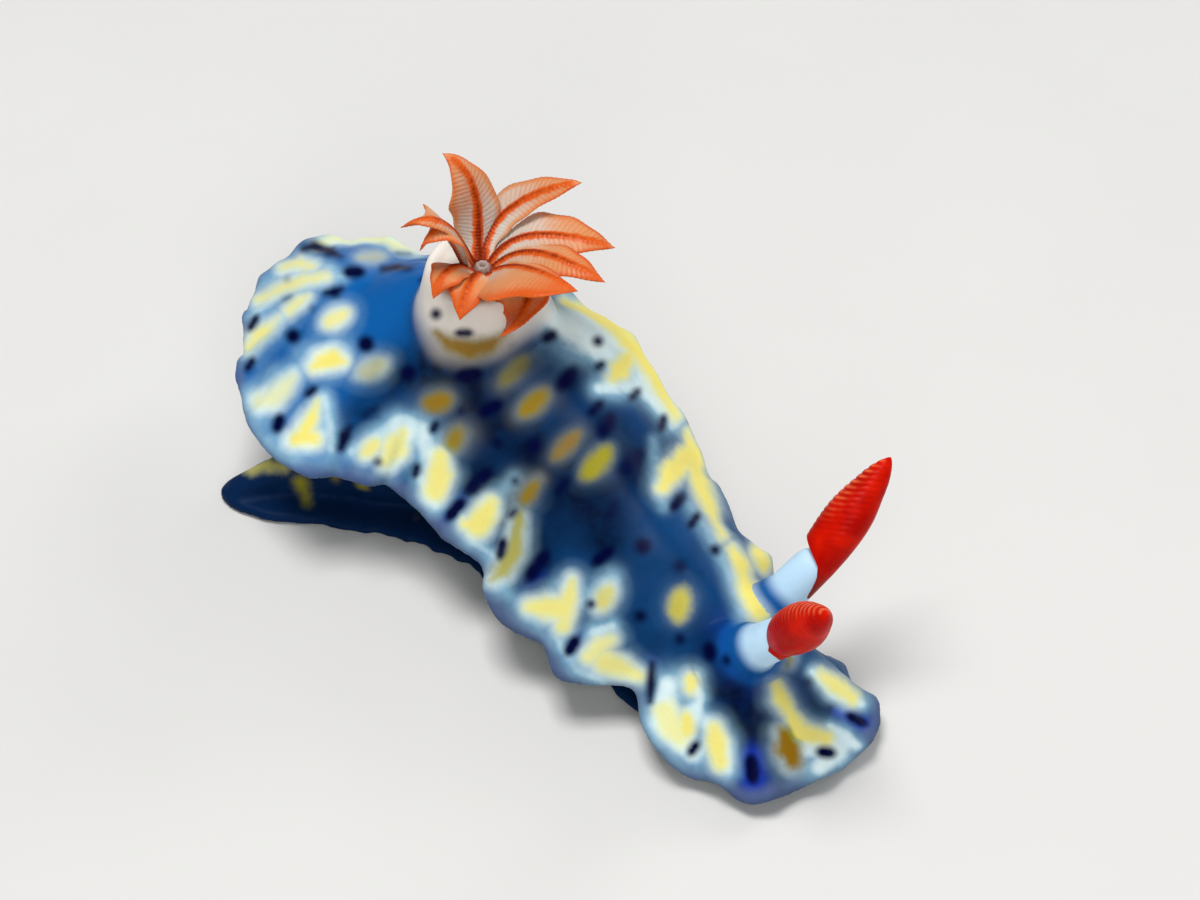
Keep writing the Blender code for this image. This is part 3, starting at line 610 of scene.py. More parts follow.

# %% [markdown]
# ## Markings
#
# Every slug of this kind carries its own pattern, so the marks that the photograph shows are listed
# one by one. Each mark is a short stroke like a dab of paint, given by a few pixels where it lies
# with its radius at each of them. The stroke is carried onto the skin along the line of sight, so it
# also lies right when the model is turned.

# %% Yellow patches: tone, strength and places
# Tone runs from -1 for cream through 0 for lemon and 0.5 for olive to 1 for mustard. A place is x, y
# and radius in pixels.
PIXELS_PER_MM = 26
YELLOW_PATCHES = {
    "top of the hood": (
        (-0.6, 0.9, (320, 244, 4), (345, 236, 7), (370, 237, 6), (395, 244, 6), (417, 247, 6)),
        (-0.4, 1, (284, 268, 5), (297, 263, 7), (312, 266, 4)),
        (-0.3, 1, (258, 300, 4), (285, 287, 5), (305, 280, 6), (326, 277, 4)),
        (-0.3, 1, (288, 311, 4), (300, 301, 5), (308, 296, 2)),
        (-0.2, 1, (249, 348, 5), (258, 335, 7), (268, 328, 6), (279, 318, 2)),
        (-0.1, 0.8, (331, 321, 9), (342, 315, 9)), (0, 0.35, (362, 257, 6), (380, 256, 5))),
    "side of the hood": (
        (0, 1, (313, 367, 6), (322, 362, 10), (333, 359, 11), (341, 361, 7)),
        (-0.5, 0.7, (261, 402, 8), (272, 399, 10), (285, 388, 8), (294, 377, 4)),
        (0, 1, (294, 440, 7), (304, 436, 11), (313, 438, 9)),
        (0, 1, (306, 430, 10), (312, 416, 7), (318, 401, 2)), (-0.1, 0.9, (366, 453, 8), (376, 444, 6)),
        (-0.4, 1, (387, 461, 8), (394, 448, 13), (403, 434, 6)), (0.2, 0.4, (365, 372, 9), (379, 365, 9))),
    "right side": (
        (-0.2, 1, (440, 458, 10), (440, 474, 13), (435, 492, 11)),
        (-0.1, 1, (466, 524, 6), (478, 525, 13), (486, 512, 12), (490, 504, 8)),
        (0.35, 0.9, (520, 514, 4), (517, 532, 6), (514, 551, 9), (503, 570, 9), (494, 579, 5)),
        (-0.2, 1, (530, 607, 7), (547, 608, 12), (562, 610, 13)),
        (-0.1, 0.9, (572, 580, 4), (568, 600, 9), (563, 626, 8)),
        (0.2, 0.85, (602, 603, 9), (608, 591, 9)), (-0.5, 1, (590, 656, 9), (600, 645, 9), (611, 640, 6)),
        (-0.3, 1, (604, 662, 12), (622, 668, 11), (640, 676, 6))),
    "middle of the back": (
        (0.8, 0.95, (433, 403, 11), (442, 400, 11)), (0.75, 0.9, (453, 443, 9), (457, 435, 9)),
        (0.6, 0.6, (507, 379, 9), (521, 364, 9)), (0.75, 0.95, (527, 409, 10), (540, 397, 10)),
        (0.85, 0.75, (559, 453, 8), (574, 437, 8)), (0.45, 1, (590, 471, 11), (604, 455, 11)),
        (0.8, 0.95, (525, 499, 7), (534, 486, 7)), (0.28, 1, (679, 610, 12), (681, 599, 12))),
    "left margin": (
        (0, 1, (568, 304, 10), (590, 312, 14), (612, 326, 13), (630, 343, 10), (644, 359, 9)),
        (0, 1, (644, 359, 9), (656, 380, 9), (667, 400, 8), (676, 416, 6)),
        (0.05, 1, (613, 378, 7), (621, 369, 12), (630, 355, 8)),
        (0, 1, (688, 432, 4), (694, 456, 11), (700, 482, 10), (712, 510, 8), (723, 536, 5)),
        (0.05, 1, (663, 487, 7), (673, 472, 13), (688, 455, 12)),
        (0, 1, (732, 548, 5), (742, 566, 9), (750, 588, 13), (759, 610, 12), (768, 622, 3)),
        (0, 1, (757, 552, 8), (764, 566, 9))),
    "front frill": (
        (-0.1, 1, (690, 680, 8), (691, 688, 8)),
        (-0.5, 0.9, (665, 712, 12), (672, 728, 13), (680, 741, 7)),
        (0.05, 1, (687, 718, 8), (686, 732, 9)), (-0.1, 1, (714, 728, 8), (717, 744, 12), (721, 762, 9)),
        (0.1, 1, (777, 686, 6), (781, 698, 9), (790, 714, 7)),
        (-0.1, 1, (790, 714, 7), (800, 732, 12), (826, 739, 9)),
        (0.95, 1, (785, 734, 9), (789, 749, 14), (793, 761, 10)),
        (-0.2, 1, (820, 674, 5), (835, 685, 10), (852, 698, 8))),
    "tail": (
        (0.45, 0.9, (292, 466, 5), (300, 482, 7), (306, 500, 5)), (0.7, 0.8, (333, 468, 5), (336, 478, 3)),
        (0.2, 0.8, (250, 468, 6), (266, 463, 7), (284, 468, 5))),
    "collar": (
        (0.95, 0.95, (436, 333, 4), (450, 344, 9), (470, 349, 11), (490, 345, 9), (505, 335, 4)),),
}
print("yellow patches:", sum(len(patches) for patches in YELLOW_PATCHES.values()), "strokes")

# %% Dark spots: strength and places
DARK_SPOTS = {
    "hood": (
        (0.6, (360, 231, 4), (371, 233, 4)),
        (1, (303, 249, 5), (314, 246, 8), (330, 251, 8), (341, 257, 3)),
        (0.7, (397, 253, 3), (410, 254, 4)), (1, (349, 272, 8), (359, 272, 8)),
        (0.95, (384, 269, 6), (396, 267, 8), (408, 268, 6)),
        (0.95, (326, 293, 5), (335, 292, 8), (341, 289, 5)), (0.6, (287, 279, 5)),
        (0.65, (285, 299, 5), (290, 297, 5)), (0.6, (312, 309, 5)), (1, (250, 328, 6), (256, 318, 5)),
        (1, (293, 336, 9)), (1, (366, 344, 10)), (1, (248, 368, 6), (252, 361, 6)),
        (1, (308, 394, 6), (314, 389, 5)), (1, (277, 428, 8), (280, 419, 6)), (0.95, (408, 373, 10)),
        (0.55, (365, 415, 7), (374, 409, 7)), (1, (341, 448, 6), (345, 436, 8), (350, 427, 4)),
        (0.9, (378, 462, 6))),
    "collar": (
        (1, (436, 314, 7)), (1, (459, 333, 6), (469, 333, 6)), (0.35, (511, 345, 6))),
    "middle of the back": (
        (0.95, (461, 376, 7), (477, 374, 9)), (0.9, (485, 412, 9), (497, 405, 8)), (0.7, (461, 411, 6)),
        (1, (433, 430, 6), (436, 424, 5)), (1, (547, 338, 8), (552, 335, 7)), (1, (598, 341, 7)),
        (1, (598, 367, 6), (602, 364, 5)), (0.85, (562, 385, 11), (572, 373, 8)),
        (0.95, (632, 398, 6), (638, 391, 5)), (0.9, (592, 412, 7), (600, 404, 6)),
        (0.8, (603, 433, 8), (611, 418, 10)), (1, (661, 428, 5), (664, 418, 6)), (0.7, (497, 443, 8)),
        (0.7, (534, 446, 11)), (0.65, (624, 470, 12), (637, 456, 11)),
        (0.65, (558, 492, 8), (567, 481, 8)), (0.4, (584, 509, 9)), (0.5, (608, 516, 10), (615, 504, 8)),
        (0.8, (515, 481, 6)), (0.85, (511, 515, 6), (515, 511, 5))),
    "right side": (
        (1, (415, 475, 6), (417, 467, 5)), (0.75, (470, 490, 10), (487, 474, 10)),
        (1, (450, 516, 7), (461, 503, 8)), (1, (503, 542, 7), (500, 556, 5)),
        (0.8, (530, 576, 8), (545, 555, 10)), (0.5, (561, 563, 5)), (1, (597, 561, 7), (609, 551, 8)),
        (1, (591, 604, 6)), (0.9, (640, 616, 8)), (1, (569, 651, 7), (575, 641, 8)),
        (1, (652, 664, 5), (651, 684, 7), (650, 701, 5))),
    "left side": (
        (0.85, (643, 546, 11)), (1, (674, 507, 7), (681, 498, 7)), (1, (691, 525, 6), (697, 516, 6)),
        (1, (715, 550, 7)), (0.65, (680, 566, 10)), (0.45, (702, 572, 5)), (0.5, (709, 478, 4)),
        (0.5, (703, 452, 4))),
    "front frill": (
        (0.9, (680, 639, 7)), (1, (709, 649, 9), (710, 655, 8)), (0.85, (727, 660, 8)),
        (1, (691, 752, 6), (696, 745, 7)), (1, (751, 760, 8), (753, 778, 9)),
        (1, (822, 752, 8), (830, 753, 8)), (1, (850, 716, 6), (863, 723, 7)), (0.6, (830, 708, 6)),
        (0.6, (808, 682, 8)), (0.4, (761, 716, 9)), (0.4, (740, 702, 10))),
}
ELECTRIC_BLUES = (
    (1, (751, 757, 11), (753, 781, 13)), (1, (838, 712, 6), (864, 724, 9)),
    (0.4, (446, 520, 9), (461, 500, 8)), (0.4, (569, 653, 9), (577, 640, 9)),
    (0.5, (652, 664, 7), (650, 701, 8)), (0.3, (500, 560, 6), (506, 540, 7)),
    (0.3, (345, 452, 6), (362, 446, 8)), (0.3, (284, 432, 6), (286, 420, 7)),
    (0.2, (722, 628, 16), (740, 668, 20), (790, 690, 20)), (0.3, (752, 568, 12), (792, 606, 10)),
    (0.6, (820, 755, 8), (838, 757, 7)), (0.4, (700, 752, 6), (690, 760, 5)),
    (0.25, (520, 600, 9), (540, 575, 8)))
print("dark spots:", sum(len(spots) for spots in DARK_SPOTS.values()))

# %% Soft washes and shades: strength and places
PALE_WASHES = (
    (0.85, (316, 247, 6), (350, 238, 11), (416, 245, 9)),
    (0.5, (266, 280, 7), (300, 266, 9), (330, 267, 6)),
    (0.65, (250, 318, 6), (280, 290, 8), (342, 276, 7)),
    (0.6, (250, 350, 8), (280, 318, 9), (300, 300, 7)),
    (0.65, (254, 395, 10), (275, 380, 14), (292, 372, 8)),
    (0.55, (252, 402, 10), (264, 436, 12), (288, 454, 10)),
    (0.75, (324, 398, 8), (330, 425, 9), (331, 448, 8)), (0.35, (300, 458, 9), (335, 462, 9)),
    (0.35, (300, 352, 10), (345, 345, 10)), (0.9, (398, 424, 12), (420, 430, 15), (427, 452, 13)),
    (0.75, (352, 452, 8), (374, 436, 9), (402, 424, 10)), (0.8, (420, 478, 9), (436, 506, 8)),
    (1, (552, 316, 17), (576, 328, 27), (604, 352, 16)),
    (0.85, (600, 388, 10), (640, 386, 13), (660, 404, 10)),
    (0.85, (632, 354, 10), (652, 388, 11), (674, 424, 10)), (0.9, (584, 316, 16), (616, 340, 16)),
    (0.4, (654, 440, 6), (654, 478, 6), (664, 506, 7)),
    (0.5, (690, 506, 8), (712, 540, 8), (730, 572, 8), (742, 616, 7)),
    (0.45, (496, 500, 9), (514, 478, 8)), (0.7, (460, 512, 6), (470, 540, 8), (494, 556, 7)),
    (0.5, (496, 582, 8), (520, 606, 8), (540, 626, 8)),
    (0.5, (556, 586, 8), (592, 596, 12), (612, 576, 10)),
    (0.7, (556, 638, 8), (576, 670, 8), (604, 682, 7)), (0.8, (594, 632, 9), (612, 626, 8)),
    (1, (668, 686, 15), (664, 722, 20), (692, 752, 16)),
    (0.9, (696, 676, 8), (700, 700, 8), (694, 714, 12)),
    (0.75, (708, 722, 9), (724, 742, 12), (728, 770, 10)),
    (1, (808, 748, 14), (836, 750, 19), (820, 766, 14)),
    (0.8, (830, 726, 5), (848, 738, 8), (858, 746, 6)), (0.8, (812, 672, 6), (832, 694, 8), (862, 704, 7)))
TAN_WASHES = (
    (0.3, (428, 404, 14), (446, 398, 14)), (0.65, (446, 448, 13), (462, 434, 15)),
    (0.5, (500, 384, 11), (526, 360, 12)), (0.35, (520, 414, 12), (546, 394, 12)),
    (0.35, (556, 458, 10), (578, 434, 10)), (0.65, (506, 500, 10), (524, 484, 12), (540, 478, 8)),
    (0.4, (520, 520, 9), (518, 556, 10)), (0.4, (596, 610, 10), (612, 586, 12)),
    (0.6, (440, 352, 9), (470, 356, 10), (506, 348, 9)), (0.5, (784, 732, 11), (784, 766, 12)))
NAVY_SHADES = (
    (0.93, (380, 372, 18), (440, 372, 36), (520, 440, 44), (588, 500, 38), (606, 540, 22)),
    (0.9, (476, 480, 20), (530, 545, 30), (530, 590, 22)), (0.7, (606, 436, 30), (640, 470, 30)),
    (0.6, (556, 396, 20), (578, 372, 18)), (0.6, (352, 424, 22), (378, 400, 22)),
    (1, (735, 690, 26), (752, 745, 22)), (1, (760, 700, 16), (762, 730, 15)),
    (0.75, (800, 688, 22), (826, 706, 16)), (0.5, (700, 636, 22), (735, 660, 20)))
print("soft strokes:", len(PALE_WASHES), "pale,", len(TAN_WASHES), "tan,", len(NAVY_SHADES), "navy")

# %% [markdown]
# A tree of the skin's faces finds where a line of sight meets the skin. The same tree says which
# corners the camera can see, because the sides that it can't see get marks of their own further on.

# %% Find the corners of the skin that the camera sees
skin_tree = BVHTree.FromObject(skin, bpy.context.evaluated_depsgraph_get())
skin_places = corners(skin)
skin_normals = np.array([vertex.normal[:] for vertex in skin.data.vertices])
skin_pixels = on_picture(skin_places)
LIFT_OFF = 0.06 * MM
GRAZING = 0.05


def seen_by_camera(place, normal):
    """Whether nothing of the skin stands between a corner of it and the camera."""
    start = Vector(place) + Vector(normal) * LIFT_OFF
    return skin_tree.ray_cast(start, EYE - start)[0] is None


faces_camera = skin_normals @ np.array(away) > GRAZING
seen = np.array([faces and seen_by_camera(place, normal)
                 for faces, place, normal in zip(faces_camera, skin_places, skin_normals)])
seen_rows = np.flatnonzero(seen)
print("corners seen by the camera:", len(seen_rows), "of", len(skin_places))

# %% [markdown]
# How far a corner lies from a stroke is measured in the picture, where the strokes were read. A
# share of the distance in space keeps a stroke from spilling over a fold onto what lies behind it.
# A short stroke leaves an oval, because most of the real spots are ovals.

# %% Carry strokes from the picture to the skin
FAR = 99.0
SPACE_SHARE = 0.35
OVAL_RUN = 46


def on_skin(x, y):
    """The place on the skin that shows at a pixel, or the nearest one that shows."""
    hit = skin_tree.ray_cast(EYE, sight_line(x, y))[0]
    if hit is None:
        nearest = np.argmin(((skin_pixels[seen_rows] - (x, y)) ** 2).sum(axis=1))
        hit = skin_places[seen_rows[nearest]]
    return np.array(hit)


def nearest_on(line, places):
    """How far every place is from a piece of line, and the share of the line at its nearest point."""
    start, end = line
    run = end - start
    share = np.clip((places - start) @ run / max(run @ run, 1e-18), 0, 1)
    return np.linalg.norm(places - start - share[:, None] * run, axis=1), share


def reach_of(stroke):
    """How far every corner of the skin is from a stroke and the stroke's radius there, in millimetres."""
    points = stroke if len(stroke) > 1 else stroke * 2
    pixels = np.array([point[:2] for point in points], dtype=float)
    radii = np.array([point[2] for point in points]) / PIXELS_PER_MM
    placed = np.array([on_skin(*pixel) for pixel in pixels])
    distance, radius = np.full(len(skin_places), FAR), np.ones(len(skin_places))
    for step in range(len(points) - 1):
        in_picture, share = nearest_on(pixels[step:step + 2], skin_pixels)
        on_line = placed[step] + share[:, None] * (placed[step + 1] - placed[step])
        in_space = np.linalg.norm(skin_places - on_line, axis=1)
        gap = np.maximum(in_picture / PIXELS_PER_MM, SPACE_SHARE * in_space / MM)
        local = radii[step] + share * (radii[step + 1] - radii[step])
        nearer = gap - local < distance - radius
        distance, radius = np.where(nearer, gap, distance), np.where(nearer, local, radius)
    return distance, radius


def blot_gap(stroke):
    """How far every corner of the skin is outside an oval round a short stroke, in millimetres."""
    first, last = np.array(stroke[0], dtype=float), np.array(stroke[-1], dtype=float)
    run = last[:2] - first[:2]
    half_long = (np.linalg.norm(run) + first[2] + last[2]) / 2
    half_wide = max(first[2], last[2])
    along = run / np.linalg.norm(run) if run.any() else np.array((1.0, 0.0))
    offset = skin_pixels - (first[:2] + last[:2]) / 2
    lengthwise, sideways = offset @ along, offset @ np.array((-along[1], along[0]))
    size = np.hypot(lengthwise / half_long, sideways / half_wide)
    in_picture = np.hypot(lengthwise, sideways) * (1 - 1 / np.maximum(size, 1e-3)) / PIXELS_PER_MM
    placed = np.array([on_skin(*first[:2]), on_skin(*last[:2])])
    in_space = nearest_on(placed, skin_places)[0] / MM
    return np.maximum(in_picture, SPACE_SHARE * in_space - half_wide / PIXELS_PER_MM)


def outline_gap(stroke):
    """How far every corner is outside the mark that a stroke leaves; a short stroke leaves an oval."""
    short = len(stroke) < 3 and math.dist(stroke[0][:2], stroke[-1][:2]) < OVAL_RUN
    return blot_gap(stroke) if short else np.subtract(*reach_of(stroke))


print("strokes shorter than", OVAL_RUN, "pixels leave ovals")

# %% [markdown]
# The sides that the photograph hides are finished the way the species looks: dark spots about a
# millimetre apart, and yellow patches in loose rows that point out to the rim. They are scattered by
# a seeded generator, so that every run gives the same animal.

# %% Scatter marks over the sides that the photograph hides
HIDDEN_SEED = 41
HIDDEN_SPOT_SPACING = 1.25
HIDDEN_PATCH_SPACING = 2.1
HIDDEN_STREAK_SPACING = 1.9
PATCH_TRIES, SPOT_TRIES, STREAK_TRIES = 4000, 6000, 3000
NEAR_RIM = 0.55
MARK_DROP = -0.35
STREAK_WAY = (0.1, 0.0, -0.7)
STREAK_TONE = 0.6

model_x = skin_places[:, 0] / MM + BOX_MIDDLE[0]
model_y = skin_places[:, 1] / MM + BOX_MIDDLE[1]
model_z = skin_places[:, 2] / MM
rim_place, rim_share = place_of(model_x, model_y)
top_height = back_height(model_x, model_y)
local_thick = top_height - back_height(model_x, model_y, 1.0)
below_top = top_height - model_z
on_top = soft_step(0.75, 0.35, below_top / local_thick)
on_mantle = soft_step(1.35, 1.05, below_top / local_thick)
from_rim = (1 - rim_share) * through(REACH, rim_place % PLACES_ROUND)
generator = np.random.default_rng(HIDDEN_SEED)


def scatter(candidates, spacing):
    """Corners picked at random from the candidates, none nearer to another than the spacing."""
    chosen = []
    for row in generator.permutation(candidates):
        place = skin_places[row]
        if all(np.linalg.norm(place - skin_places[other]) > spacing * MM for other in chosen):
            chosen.append(int(row))
    return chosen


def outwards(row):
    """The way from a corner of the skin to the rim beside it."""
    direction = float(rim_frame(rim_place[row:row + 1])[1][0])
    return np.array((math.cos(direction), math.sin(direction), MARK_DROP))


def line_from(row, way, shortest, longest):
    """A line of random length that starts at a corner of the skin."""
    return skin_places[row], skin_places[row] + way * generator.uniform(shortest, longest) * MM


hidden_top = np.flatnonzero(~seen & (on_top > 0.6) & (rim_share < 0.97))
hidden_low = np.flatnonzero(~seen & (on_mantle < 0.1) & (model_z > 0.7))
hidden_patches = []
hidden_spots = []
for row in scatter(generator.choice(hidden_top, PATCH_TRIES), HIDDEN_PATCH_SPACING):
    near_rim = rim_share[row] > NEAR_RIM
    line = line_from(row, outwards(row), 0.1, 0.9 if near_rim else 0.25)
    patch_tone = -0.2 if near_rim else generator.uniform(0.2, 0.8)
    hidden_patches.append((patch_tone, generator.uniform(0.26, 0.46), line))
for row in scatter(generator.choice(hidden_top, SPOT_TRIES), HIDDEN_SPOT_SPACING):
    line = line_from(row, outwards(row), 0.0, 0.3)
    hidden_spots.append((generator.uniform(0.6, 1.0), generator.uniform(0.18, 0.32), line))
for row in scatter(generator.choice(hidden_low, STREAK_TRIES), HIDDEN_STREAK_SPACING):
    line = line_from(row, np.array(STREAK_WAY), 0.4, 1.6)
    hidden_patches.append((STREAK_TONE, generator.uniform(0.14, 0.3), line))
print("marks on the hidden sides:", len(hidden_patches), "yellow,", len(hidden_spots), "dark")

# %% [markdown]
# The strokes become attributes, one number on each corner of the skin. A distance keeps its meaning
# between corners, so the yellow is stored as the distance from the edge of the nearest patch, and the
# material cuts it off there. Spots, halos and washes are stored as strengths.

# %% Write the markings onto the skin
SPOT_SOFTNESS = 0.24
INK_AT_EDGE = 0.31
WASH_FALL = 0.8
GLOW_REACH = 0.8
HALO_REACH = 0.42
PATCH_BLEND = 0.2
OFF_PLACE = 3
HIDDEN_FRINGE = 0.4
HIDDEN_NAVY = 0.8
HIDDEN_PALE = 0.45
FRINGES = {"top of the hood": 0.6, "side of the hood": 0.8, "right side": 0.6, "middle of the back": 0.08,
           "left margin": 0.35, "front frill": 0.4, "tail": 0.0, "collar": 0.0}

gaps, measures = [], []
for group, patches in YELLOW_PATCHES.items():
    for patch_tone, patch_strength, *stroke in patches:
        elsewhere = on_mantle if group == "tail" else 1 - on_mantle
        gaps.append(outline_gap(stroke) + OFF_PLACE * elsewhere)
        measures.append((patch_tone, patch_strength, FRINGES[group]))
for patch_tone, patch_radius, line in hidden_patches:
    gaps.append(nearest_on(line, skin_places)[0] / MM - patch_radius)
    measures.append((patch_tone, 1.0, HIDDEN_FRINGE))
gaps = np.array(gaps)
yellow = gaps.min(axis=0)
shares = np.exp((yellow - gaps) / PATCH_BLEND)
shares /= shares.sum(axis=0)
tone, strength, fringe = np.array(measures).T @ shares
halo = np.clip(1 - yellow / HALO_REACH, 0, 1) * strength * fringe
glow = np.clip(1 - yellow / GLOW_REACH, 0, 1) * strength * fringe

spots = [(spot_strength, outline_gap(stroke))
         for group in DARK_SPOTS.values() for spot_strength, *stroke in group]
spots += [(spot_strength, nearest_on(line, skin_places)[0] / MM - spot_radius)
          for spot_strength, spot_radius, line in hidden_spots]
ink = np.zeros(len(skin_places))
for spot_strength, gap in spots:
    ink = np.maximum(ink, spot_strength * np.clip(INK_AT_EDGE - gap / (2 * SPOT_SOFTNESS), 0, 1))


def wash(strokes):
    """Soft strokes laid over each other at every corner of the skin."""
    bare = np.ones(len(skin_places))
    for wash_strength, *stroke in strokes:
        distance, radius = reach_of(stroke)
        bare *= 1 - wash_strength * np.exp(-WASH_FALL * (distance / radius) ** 2)
    return 1 - bare


pale, tan, electric, navy = wash(PALE_WASHES), wash(TAN_WASHES), wash(ELECTRIC_BLUES), wash(NAVY_SHADES)
hidden_navy = HIDDEN_NAVY * soft_step(0.75, 0.2, rim_share) * soft_step(-8.0, -4.0, model_x)
hidden_pale = HIDDEN_PALE * soft_step(1.5, 0.4, from_rim)
navy = np.where(seen, navy, np.maximum(navy, hidden_navy))
pale = np.where(seen, pale, np.maximum(pale, hidden_pale))

# %% [markdown]
# Five more attributes follow the anatomy: how far the rim is, how far up the stalk of a rhinophore a
# corner lies, and how much it belongs to the gill collar, to the hood over the tail and to the
# underside, where the material paints shade. No mark of the mantle runs up a stalk.

# %% Write the parts of the body onto the skin
COLLAR_WHITE = (2.8, 2.3)
STALK_PALE = (0.7, 1.35)
STALK_NEAR = 1.3
OFF_RIM = 9.0

to_gills = np.hypot(model_x - GILL_CENTRE[0], model_y - GILL_CENTRE[1])
near_gills = soft_step(*COLLAR_WHITE, to_gills)
collar_white = np.maximum(near_gills * soft_step(0.1, 0.6, -below_top), near_gills * 0.5 * on_top)

stalk_pale, stalk_any, sheath = np.zeros((3, len(skin_places)))
for base, lean, club_lean in RHINOPHORES.values():
    way = np.array(Vector(lean).normalized())
    offset = np.stack((model_x, model_y, model_z), axis=1) - on_back(base)
    along = offset @ way
    aside = np.linalg.norm(offset - along[:, None] * way, axis=1)
    near_axis = soft_step(STALK_NEAR + 0.15, STALK_NEAR - 0.15, aside)
    stalk_pale = np.maximum(stalk_pale, near_axis * soft_step(*STALK_PALE, along))
    stalk_any = np.maximum(stalk_any, near_axis * soft_step(0.3, 0.7, along))
    sheath = np.maximum(sheath, near_axis * soft_step(-0.4, 0.3, along))

rim_gap = np.where(on_mantle > 0.5, np.maximum(from_rim, 0.0), OFF_RIM)
rim_gap = np.where(stalk_any > 0.3, OFF_RIM, rim_gap)
free = 1 - stalk_any
numbers = {
    "yellow": yellow + OFF_RIM * stalk_any, "tone": tone, "strength": strength, "tan": tan * free,
    "electric": electric * free, "halo": halo * free * on_mantle, "glow": glow * free * on_mantle,
    "ink": ink * free, "pale": pale * free * on_mantle, "navy": navy * (1 - 0.7 * sheath),
    "rim": np.minimum(rim_gap, OFF_RIM), "stalk": stalk_pale, "collar": collar_white,
    "hood": np.maximum(soft_step(-3.5, -8.5, model_x) * on_mantle, 0.9 * sheath), "below": 1 - on_top}
for name, values in numbers.items():
    store(skin, name, values)
print("attributes on the skin:", ", ".join(numbers))

# %% [markdown]
# ## The skin's material
#
# Light enters a slug's wet skin, spreads, and comes out again, so the shader has some subsurface
# scattering under a soft gloss. The colours are laid over each other like glazes: blues first, then
# the lilac rim, the tan and pale washes, the halos, the yellow and last the dark spots. A fine noise
# shifts every edge a little, because no edge of the real pattern is a clean line.

# %% A helper that mixes a material from nodes
class Look:
    """A material being mixed: its node tree, its shader and the colour reached so far."""

    def __init__(self, name, colour):
        self.material = bpy.data.materials.new(name)
        self.material.use_nodes = True
        self.tree = self.material.node_tree
        self.shader = self.tree.nodes["Principled BSDF"]
        self.colour = colour

    def connect(self, value, socket):
        """Link an output to a socket, or set a plain value on it."""
        if isinstance(value, bpy.types.NodeSocket):
            self.tree.links.new(value, socket)
        else:
            socket.default_value = (*value, 1.0) if socket.type == "RGBA" else value

    def add(self, kind, inputs, output, **settings):
        """Add a node and give one of its outputs."""
        node = self.tree.nodes.new("ShaderNode" + kind)
        for name, value in settings.items():
            setattr(node, name, value)
        for name, value in inputs.items():
            self.connect(value, node.inputs[name])
        return node.outputs[output]

    def read(self, name):
        """A number stored on the corners of the piece."""
        return self.add("Attribute", {}, "Fac", attribute_name=name)

    def noise(self, scale, detail=3.0):
        """Noise in the object's own coordinates, from 0 to 1."""
        place = self.add("TexCoord", {}, "Object")
        inputs = {"Vector": place, "Scale": scale, "Detail": detail, "Roughness": 0.55}
        return self.add("TexNoise", inputs, "Fac")

    def work_out(self, operation, *values):
        """One step of arithmetic on outputs or numbers."""
        return self.add("Math", dict(enumerate(values)), "Value", operation=operation)

    def ramp(self, value, low, high, to_low=0.0, to_high=1.0):
        """A smooth rise of a value from low to high."""
        inputs = {"Value": value, "From Min": low, "From Max": high, "To Min": to_low, "To Max": to_high}
        return self.add("MapRange", inputs, "Result", interpolation_type="SMOOTHSTEP")

    def mix(self, factor, under, over):
        """One colour laid over another, with the factor kept between 0 and 1."""
        return self.add("Mix", {0: factor, 6: under, 7: over}, 2, data_type="RGBA", clamp_factor=True)

    def glaze(self, factor, over):
        """Lay a colour over the one reached so far."""
        self.colour = self.mix(factor, self.colour, over)

    def bump(self, height, strength, distance):
        """Small relief from a height."""
        return self.add("Bump", {"Height": height, "Strength": strength, "Distance": distance}, "Normal")

    def put_on(self, pieces, inputs):
        """Set the shader's inputs and make this the only material of the pieces."""
        for name, value in {"Base Color": self.colour, **inputs}.items():
            self.connect(value, self.shader.inputs[name])
        for piece in pieces:
            piece.data.materials.clear()
            piece.data.materials.append(self.material)


print("material helper ready")

# %% The colours of the skin
SLATE_BLUE = (0.004, 0.038, 0.125)
ROYAL_BLUE = (0.004, 0.095, 0.33)
NAVY_BLUE = (0.0012, 0.006, 0.026)
PALE_BLUE = (0.27, 0.5, 0.64)
MILK_WHITE = (0.78, 0.9, 0.88)
TAN_GREY = (0.13, 0.13, 0.115)
RIM_LILAC = (0.11, 0.14, 0.24)
CREAM = (0.76, 0.82, 0.48)
LEMON = (0.8, 0.76, 0.25)
LEMON_HEART = (0.82, 0.71, 0.17)
OLIVE = (0.27, 0.245, 0.009)
MUSTARD = (0.25, 0.17, 0.011)
MUSTARD_HEART = (0.28, 0.14, 0.007)
ULTRAMARINE = (0.006, 0.03, 0.38)
SPOT_BLACK = (0.0003, 0.0015, 0.03)
STALK_WHITE = (0.52, 0.74, 0.92)
COLLAR_GREY = (0.82, 0.76, 0.68)
# Deep navy painted as shade under the mantle
UNDERSIDE_SHADE_NAVY = (0.002, 0.012, 0.05)
print("the skin starts from", SLATE_BLUE, "and ends with", SPOT_BLACK)

# %% Lay the blues, the washes and the halos over each other
look = Look("slug_skin", SLATE_BLUE)
mottling = look.noise(1300, detail=4.0)
patches = look.noise(420, detail=2.0)
coarse_shift = look.work_out("MULTIPLY_ADD", mottling, 0.4, -0.25)
edge_shift = look.work_out("MULTIPLY_ADD", look.noise(3800, detail=2.0), 0.1, coarse_shift)


def uneven(name, amount):
    """A stored number made patchy, by up to the amount more or less; zero stays zero."""
    share = look.ramp(mottling, 0.3, 0.7, 1 - amount, 1 + amount)
    return look.work_out("MULTIPLY", look.read(name), share)


